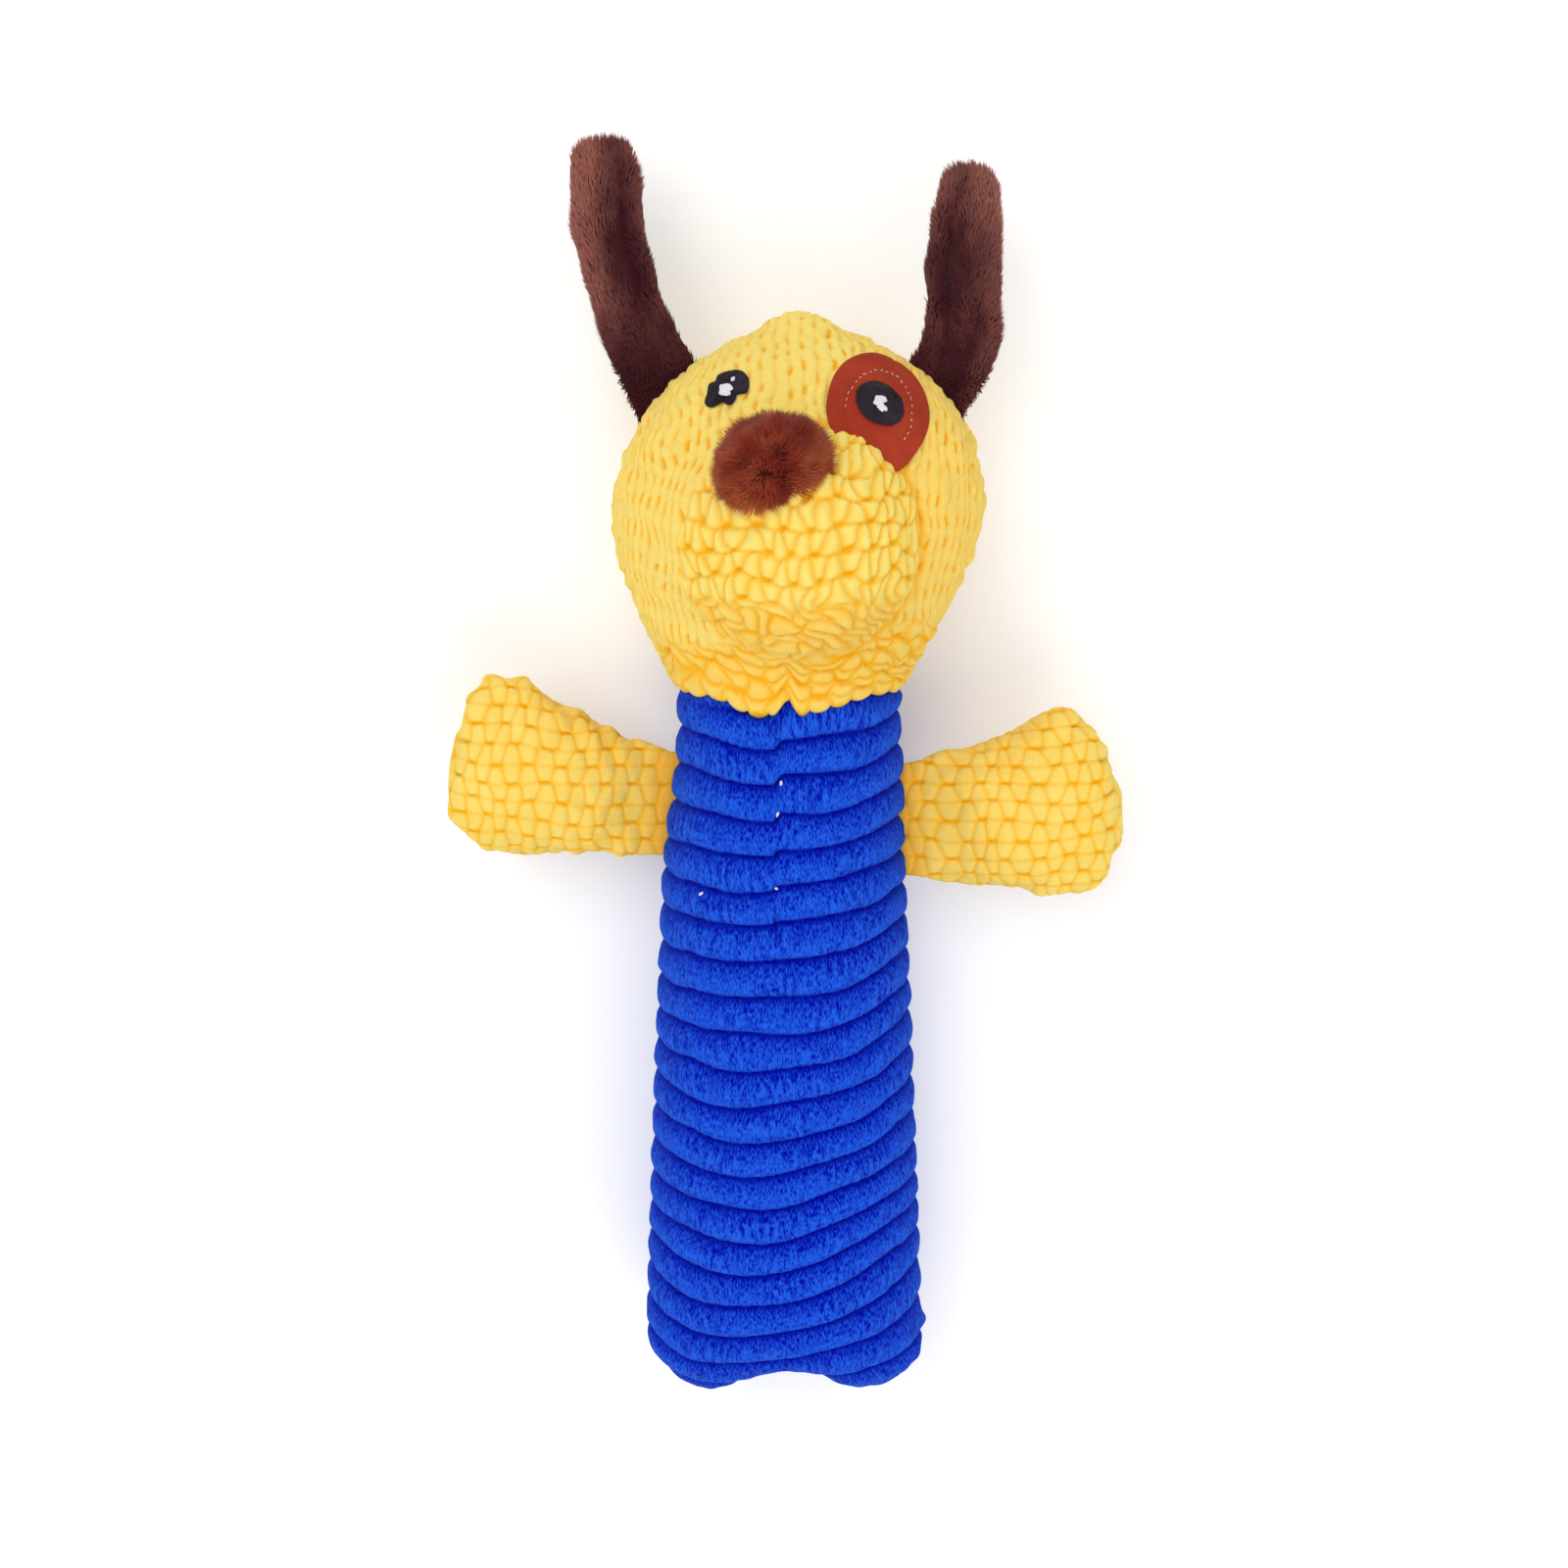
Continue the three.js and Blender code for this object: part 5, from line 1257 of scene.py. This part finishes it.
def scatter(piece, count, seed, chosen=None):
    """Random places spread evenly over a piece, with the way out there."""
    corners = triangles_of(piece)
    places, normals = from_neck(piece), normals_of(piece)
    a, b, c = places[corners.T]
    area = np.linalg.norm(np.cross(b - a, c - a), axis=1)
    if chosen is not None:
        area = area * chosen((a + b + c) / 3, normals[corners[:, 0]])
    chance = np.random.default_rng(seed)
    picked = chance.choice(len(area), count, p=area / area.sum())
    mix = chance.dirichlet((1, 1, 1), count)[..., None]
    root = (places[corners[picked]] * mix).sum(1)
    out = (normals[corners[picked]] * mix).sum(1)
    return root, unit(out)


def make_strands(name, root, way, bend, length, thickness, tone):
    """Closed three-sided strands that taper to a point, bent once on the way, as one piece."""
    count = len(root)
    aside = unit(np.cross(way, [0.3, 0.2, 0.93]))
    third = np.cross(way, aside)
    middle = root + way * length[:, None] * 0.5
    tip = middle + (way + bend) * length[:, None] * 0.5
    levels = []
    for centre, share in ((root, 1), (middle, 0.8)):
        for turn in (0, 2 * np.pi / 3, 4 * np.pi / 3):
            offset = aside * math.cos(turn) + third * math.sin(turn)
            levels.append(centre + offset * thickness * share / 2)
    levels.append(tip)
    pattern = [(2, 1, 0)]
    for k in range(3):
        n = (k + 1) % 3
        pattern += [(k, n, n + 3), (k, n + 3, k + 3), (k + 3, n + 3, 6)]
    faces = (np.arange(count)[:, None, None] * 7 + np.array(pattern)).reshape(-1, 3)
    piece = new_piece(name, np.stack(levels, 1), faces)
    mark(piece, "tone", np.repeat(np.clip(tone, 0, 1), 7))
    mark(piece, "along", np.tile([0, 0, 0, 0.5, 0.5, 0.5, 1], count))
    return piece


def ear_sections(ear):
    """An ear's own line, each place's share of its length, and the way across it there."""
    shares = np.array([ear["root_share"] - 0.05, ear["root_share"], ear["root_share"] + 0.05])
    on_edge = head_centre(shares)
    on_edge[:, 0] += ear["side"] * head_half(shares, HEAD_HALF_WIDTH)
    root, along = on_edge[1], on_edge[2] - on_edge[0]
    along[2] = 0
    along /= np.linalg.norm(along)
    outward = np.array(ear["outward"]) * ear["length"] * ear["side"]
    upward = np.array(ear["upward"])
    corners = np.stack([outward, upward * ear["length"], -ear["droop"] * upward ** 2], -1)
    chords = lengths_along(corners, 0)
    fine = np.linspace(0, chords[-1], 400)
    line = root + np.stack([along_table(chords, corners[:, k], fine) for k in range(3)], -1)
    run = lengths_along(line, 0)
    share = run / run[-1]
    way = np.gradient(line, axis=0)
    square = unit(np.stack([way[:, 1], -way[:, 0], np.zeros(len(way))], -1))
    square *= np.sign(square @ along)[:, None]
    square_share = smooth(0, EAR_ROOT_TURN_SHARE, share)[:, None]
    return line, share, unit(along * (1 - square_share) + square * square_share)


def make_ear(name):
    """A long flat ear of short pile, with a soft fold down its front."""
    ear = EARS[name]
    line, line_share, wide_way = ear_sections(ear)
    share = np.linspace(0, 1, EAR_ROWS - EAR_END_ROWS + 1) ** 0.95
    start = np.concatenate([np.linspace(0, 1, EAR_END_ROWS, endpoint=False), np.ones(len(share))])
    share = np.concatenate([np.zeros(EAR_END_ROWS), share])
    centre, wide = on_line(share, line_share, line), on_line(share, line_share, wide_way)
    tip = np.clip((1 - share) / (1 - EAR_ALONG_SHARES[-1]), 0, 1) ** 0.4 * start
    half_width = along_table(EAR_ALONG_SHARES, ear["widths"], share) * ear["half_width"] - EAR_PILE_DEPTH
    thick = along_table(EAR_ALONG_SHARES, EAR_THICKNESS_SHARES, share) * EAR_HALF_THICKNESS
    thick = np.maximum(thick - EAR_PILE_DEPTH * 0.6, 0.5)
    turn = around(EAR_COLUMNS)
    across = np.sin(turn) * half_width[:, None] * tip[:, None]
    points = centre[:, None] + across[..., None] * wide[:, None]
    up = np.cos(turn) * thick[:, None] * tip[:, None]
    fold_at = across * wide[:, None, 0] / ear["half_width"]
    fold = bell((fold_at - ear["fold_place"]) / EAR_FOLD_HALF_WIDTH)
    up -= EAR_FOLD_DEPTH * fold * (smooth(0.05, 0.25, share) * smooth(0.92, 0.6, share))[:, None] * (up > 0)
    points[..., 2] += up
    sunk = (line[20] - line[0]) / np.linalg.norm(line[20] - line[0]) * EAR_SUNK
    points -= sunk * smooth(0.07, 0, share)[:, None, None]
    piece, at = skin(f"{name}_cloth", points)
    mark(piece, "tone", share[at[0]])
    dress(piece, name, "ear_fur", EAR_BACKING, f"{name}_front", f"{name}_back")
    root, out = scatter(piece, EAR_PILE, 71)
    place = np.interp(root[:, 1], line[:, 1], line_share)
    way = unit(on_line(place, line_share[1:], np.diff(line, axis=0)))
    chance = np.random.default_rng(72)
    brush = way + EAR_PILE_SWAY * spread_ways(root, 16, (73, 74, 75))
    at_root = smooth(0.1, 0, place)[:, None]
    brush *= 1 - 1.3 * at_root
    lean = out * 0.5 + brush * (0.85 + 0.2 * chance.uniform(-1, 1, EAR_PILE)[:, None])
    lean = unit(lean + (EAR_PILE_MESS + EAR_ROOT_MESS * at_root) * chance.normal(size=lean.shape))
    strand = EAR_PILE_LENGTH * chance.uniform(0.75, 1.2, EAR_PILE)
    strand *= 1 - EAR_ROOT_SHORTENING * smooth(0.12, 0, place)
    side = (root - on_line(place, line_share, line))[:, 0]
    # painted light and shade in the pile's tone: sheen towards the tip, light on the edges, shade near the
    # root and in the fold; the waves and chance below are real tufts
    tone = EAR_TONE + EAR_TIP_PAINTED_SHEEN * smooth(0.5, 1, place) - EAR_ROOT_SHADE * smooth(0.4, 0, place)
    if name == "ear_right":
        tone += EAR_RIGHT_TIP_PAINTED_SHEEN * smooth(0.55, 0.9, place) + EAR_RIGHT_EDGE_PAINTED_LIGHT * smooth(3, 8, side)
    else:
        tone += EAR_LEFT_EDGE_PAINTED_LIGHT * smooth(1, -6, side) * smooth(0.12, 0.45, place)
    tone -= EAR_FOLD_PAINTED_SHADE * bell((side / 9 - ear["fold_place"]) / 0.45) * smooth(0.2, 0.5, place)
    tone += 0.07 * waves(root * [1, 0.35, 1], 4, 76) + 0.07 * chance.uniform(-1, 1, EAR_PILE)
    pile = make_strands(f"{name}_pile", root, lean, brush * 0.3, strand, EAR_STRAND_THICKNESS, tone)
    return dress(pile, name, "ear_fur", EAR_FUR)


def make_nose():
    """A round nose of longer fur that stands out all round."""
    lean = np.array([
        -math.sin(NOSE_LEAN_LEFT) * math.cos(NOSE_LEAN_UP),
        math.sin(NOSE_LEAN_UP),
        math.cos(NOSE_LEAN_LEFT) * math.cos(NOSE_LEAN_UP),
    ])
    right = np.array([math.cos(NOSE_LEAN_LEFT), 0, math.sin(NOSE_LEAN_LEFT)])
    up = np.cross(lean, right)
    middle = MUZZLE_MIDDLE + lean * MUZZLE_HALF[0]
    half = NOSE_HALF - NOSE_FUR_DEPTH
    level = np.linspace(-np.pi / 2, np.pi / 2, NOSE_LEVELS)[:, None]
    turn = around(NOSE_COLUMNS)
    edge = reach_at(NOSE_EDGE, turn)
    points = middle + (np.cos(level) * np.cos(turn) * edge)[..., None] * right * half[0]
    points = points + (np.cos(level) * np.sin(turn) * edge)[..., None] * up * half[1]
    points = points + (np.sin(level) * np.ones(NOSE_COLUMNS))[..., None] * lean * half[2]
    points += 0.5 * waves(points, 9, 80)[..., None] * lean
    piece, at = skin("nose_cloth", points)
    mark(piece, "tone", np.full(len(at[0]), 0.3))
    dress(piece, "head", "nose_fur", NOSE_BACKING, "nose_cover", "nose_stuffing")
    root, out = scatter(piece, NOSE_STRANDS, 81, lambda at, normal: (at - middle) @ lean > -3)
    chance = np.random.default_rng(82)
    away = root - middle
    flat = away - (away @ lean)[:, None] * lean
    spread = flat / half[0]
    swirl = np.cross(lean, spread)
    tuft = spread_ways(root, 4.5, (83, 84, 85))
    way = sum(share * part for share, part in zip(NOSE_FUR_WAYS, (out, spread, up, swirl, tuft)))
    way = unit(way + 0.15 * chance.normal(size=out.shape))
    length = NOSE_FUR_LENGTH * chance.uniform(0.7, 1.25, NOSE_STRANDS)
    tone = NOSE_TONE + 0.2 * waves(root, 5, 87) + 0.12 * chance.uniform(-1, 1, NOSE_STRANDS)
    tone += np.clip(np.hypot(*(spread @ np.stack([right, up], 1)).T) - NOSE_EDGE_LIGHT_FROM, 0, 1)
    bend = 0.35 * spread + 0.15 * tuft
    fur = make_strands("nose_fur_strands", root, way, bend, length, NOSE_STRAND_THICKNESS, tone)
    return dress(fur, "head", "nose_fur", NOSE_FUR)


# Squeaker

def make_bellows():
    """The squeaker's folding wall, with rounder folds than the model's."""
    low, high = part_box("squeaker_bellows")
    middle = (low + high) / 2
    height = np.linspace(low.z, high.z, BELLOWS_LEVELS) / MM
    phase = (height - height[0]) / (height[-1] - height[0]) * BELLOWS_FOLDS
    fold = BELLOWS_FOLD_DEPTH * (1 - np.abs(np.cos(np.pi * phase))) ** 0.8
    outer = np.stack([(high.x - low.x) / 2 / MM - fold, height], -1)
    profile = np.concatenate([outer, outer[::-1] - [BELLOWS_WALL, 0]])
    turn = around(BELLOWS_COLUMNS)
    centre = (np.array(middle) - NECK_ON_GROUND) / MM
    points = np.zeros((len(profile), len(turn), 3))
    points[..., :2] = profile[:, None, :1] * np.stack([np.cos(turn), np.sin(turn)], -1) + centre[:2]
    points[..., 2] = profile[:, 1:]
    index = np.arange(len(profile) * len(turn)).reshape(len(profile), -1)
    above = np.roll(index, -1, 0)
    quads = np.stack([index, np.roll(index, -1, 1), np.roll(above, -1, 1), above], -1)
    piece = new_piece("squeaker_folding_wall", points, quads.reshape(-1, 4))
    face_outwards(piece)
    dress(piece, "body", "squeaker_plastic", PLASTIC, "squeaker_bellows")
    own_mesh(piece)


def dress_squeaker():
    for name, node in frame["nodes"].items():
        if name.startswith("squeaker"):
            node.data.materials.clear()
            node.data.materials.append(BRASS if name == "squeaker_reed" else PLASTIC)


# Loose threads on the chest

def make_chest_threads(cloth):
    """White ends of thread that stick out of the chest, as in the seam."""
    places = from_neck(cloth)
    places = places[places[:, 2] > AXIS_HEIGHT]
    ends = []
    for x, y, turn in CHEST_THREADS:
        near = places[np.argmin(np.hypot(places[:, 0] - x, places[:, 1] - y))]
        step = np.array([math.cos(turn), math.sin(turn), 0.35]) * CHEST_THREAD_LENGTH / 2
        ends.append((near - step * [1, 1, 0], near + step + [0, 0, 0.3]))
    return make_threads("chest_thread_ends", ends, CHEST_THREAD_THICKNESS, "body", "glint_thread",
                        WHITE_THREAD)


# Stage

def seen_directly(tree):
    """1 for what the camera sees by itself or in a mirror, and 0 for the light that falls on things."""
    path = add(tree, "LightPath", {})
    return combined(tree, "ADD", path["Is Camera Ray"], path["Is Glossy Ray"])


def make_stage():
    bpy.ops.mesh.primitive_plane_add(size=FLOOR_SIZE, location=(0, 0, 0))
    floor = bpy.context.object
    floor.name = "floor"
    floor.select_set(False)
    material, tree, shader = new_material("floor")
    feed(tree, shader, {
        "Base Color": [FLOOR_TONE] * 3 + [1], "Roughness": 1, "Specular IOR Level": 0,
        "Emission Color": WHITE,
        "Emission Strength": combined(tree, "MULTIPLY", seen_directly(tree), FLOOR_GLOW),
    })
    floor.data.materials.append(material)
    world = bpy.data.worlds.new("studio")
    world.use_nodes = True
    tree = world.node_tree
    level = ranged(tree, seen_directly(tree), 0, 1, WORLD_LEVEL, 1)
    feed(tree, tree.nodes["Background"], {"Color": WHITE, "Strength": level})
    bpy.context.scene.world = world
    for name, place, size, power in LAMPS:
        bpy.ops.object.light_add(type="AREA", location=place)
        lamp = bpy.context.object
        lamp.name = name
        lamp.data.shape = "DISK"
        lamp.data.size = size
        lamp.data.energy = power
        lamp.rotation_mode = "QUATERNION"
        lamp.rotation_quaternion = (-Vector(place)).to_track_quat("-Z", "Y")
        lamp.select_set(False)


def make_camera():
    aim = Vector(CAMERA_AIM) * MM + Vector(NECK_ON_GROUND)
    away = Vector((0, math.sin(CAMERA_TILT), math.cos(CAMERA_TILT))) * CAMERA_DISTANCE * MM
    bpy.ops.object.camera_add(location=aim + away, rotation=(-CAMERA_TILT, 0, 0))
    camera = bpy.context.object
    camera.select_set(False)
    camera.data.lens = CAMERA_LENS
    camera.data.sensor_width = CAMERA_SENSOR
    camera.data.clip_start = 0.01
    bpy.context.scene.camera = camera


make_camera()
make_stage()
body_cloth = make_body()
make_chest_threads(body_cloth)
make_head()
make_nose()
make_patch()
make_stitches()
make_eyes()
for ear_name in EARS:
    make_ear(ear_name)
for arm_name in ARMS:
    make_arm(arm_name)
make_bellows()
dress_squeaker()

bpy.context.scene.view_settings.view_transform = "Standard"
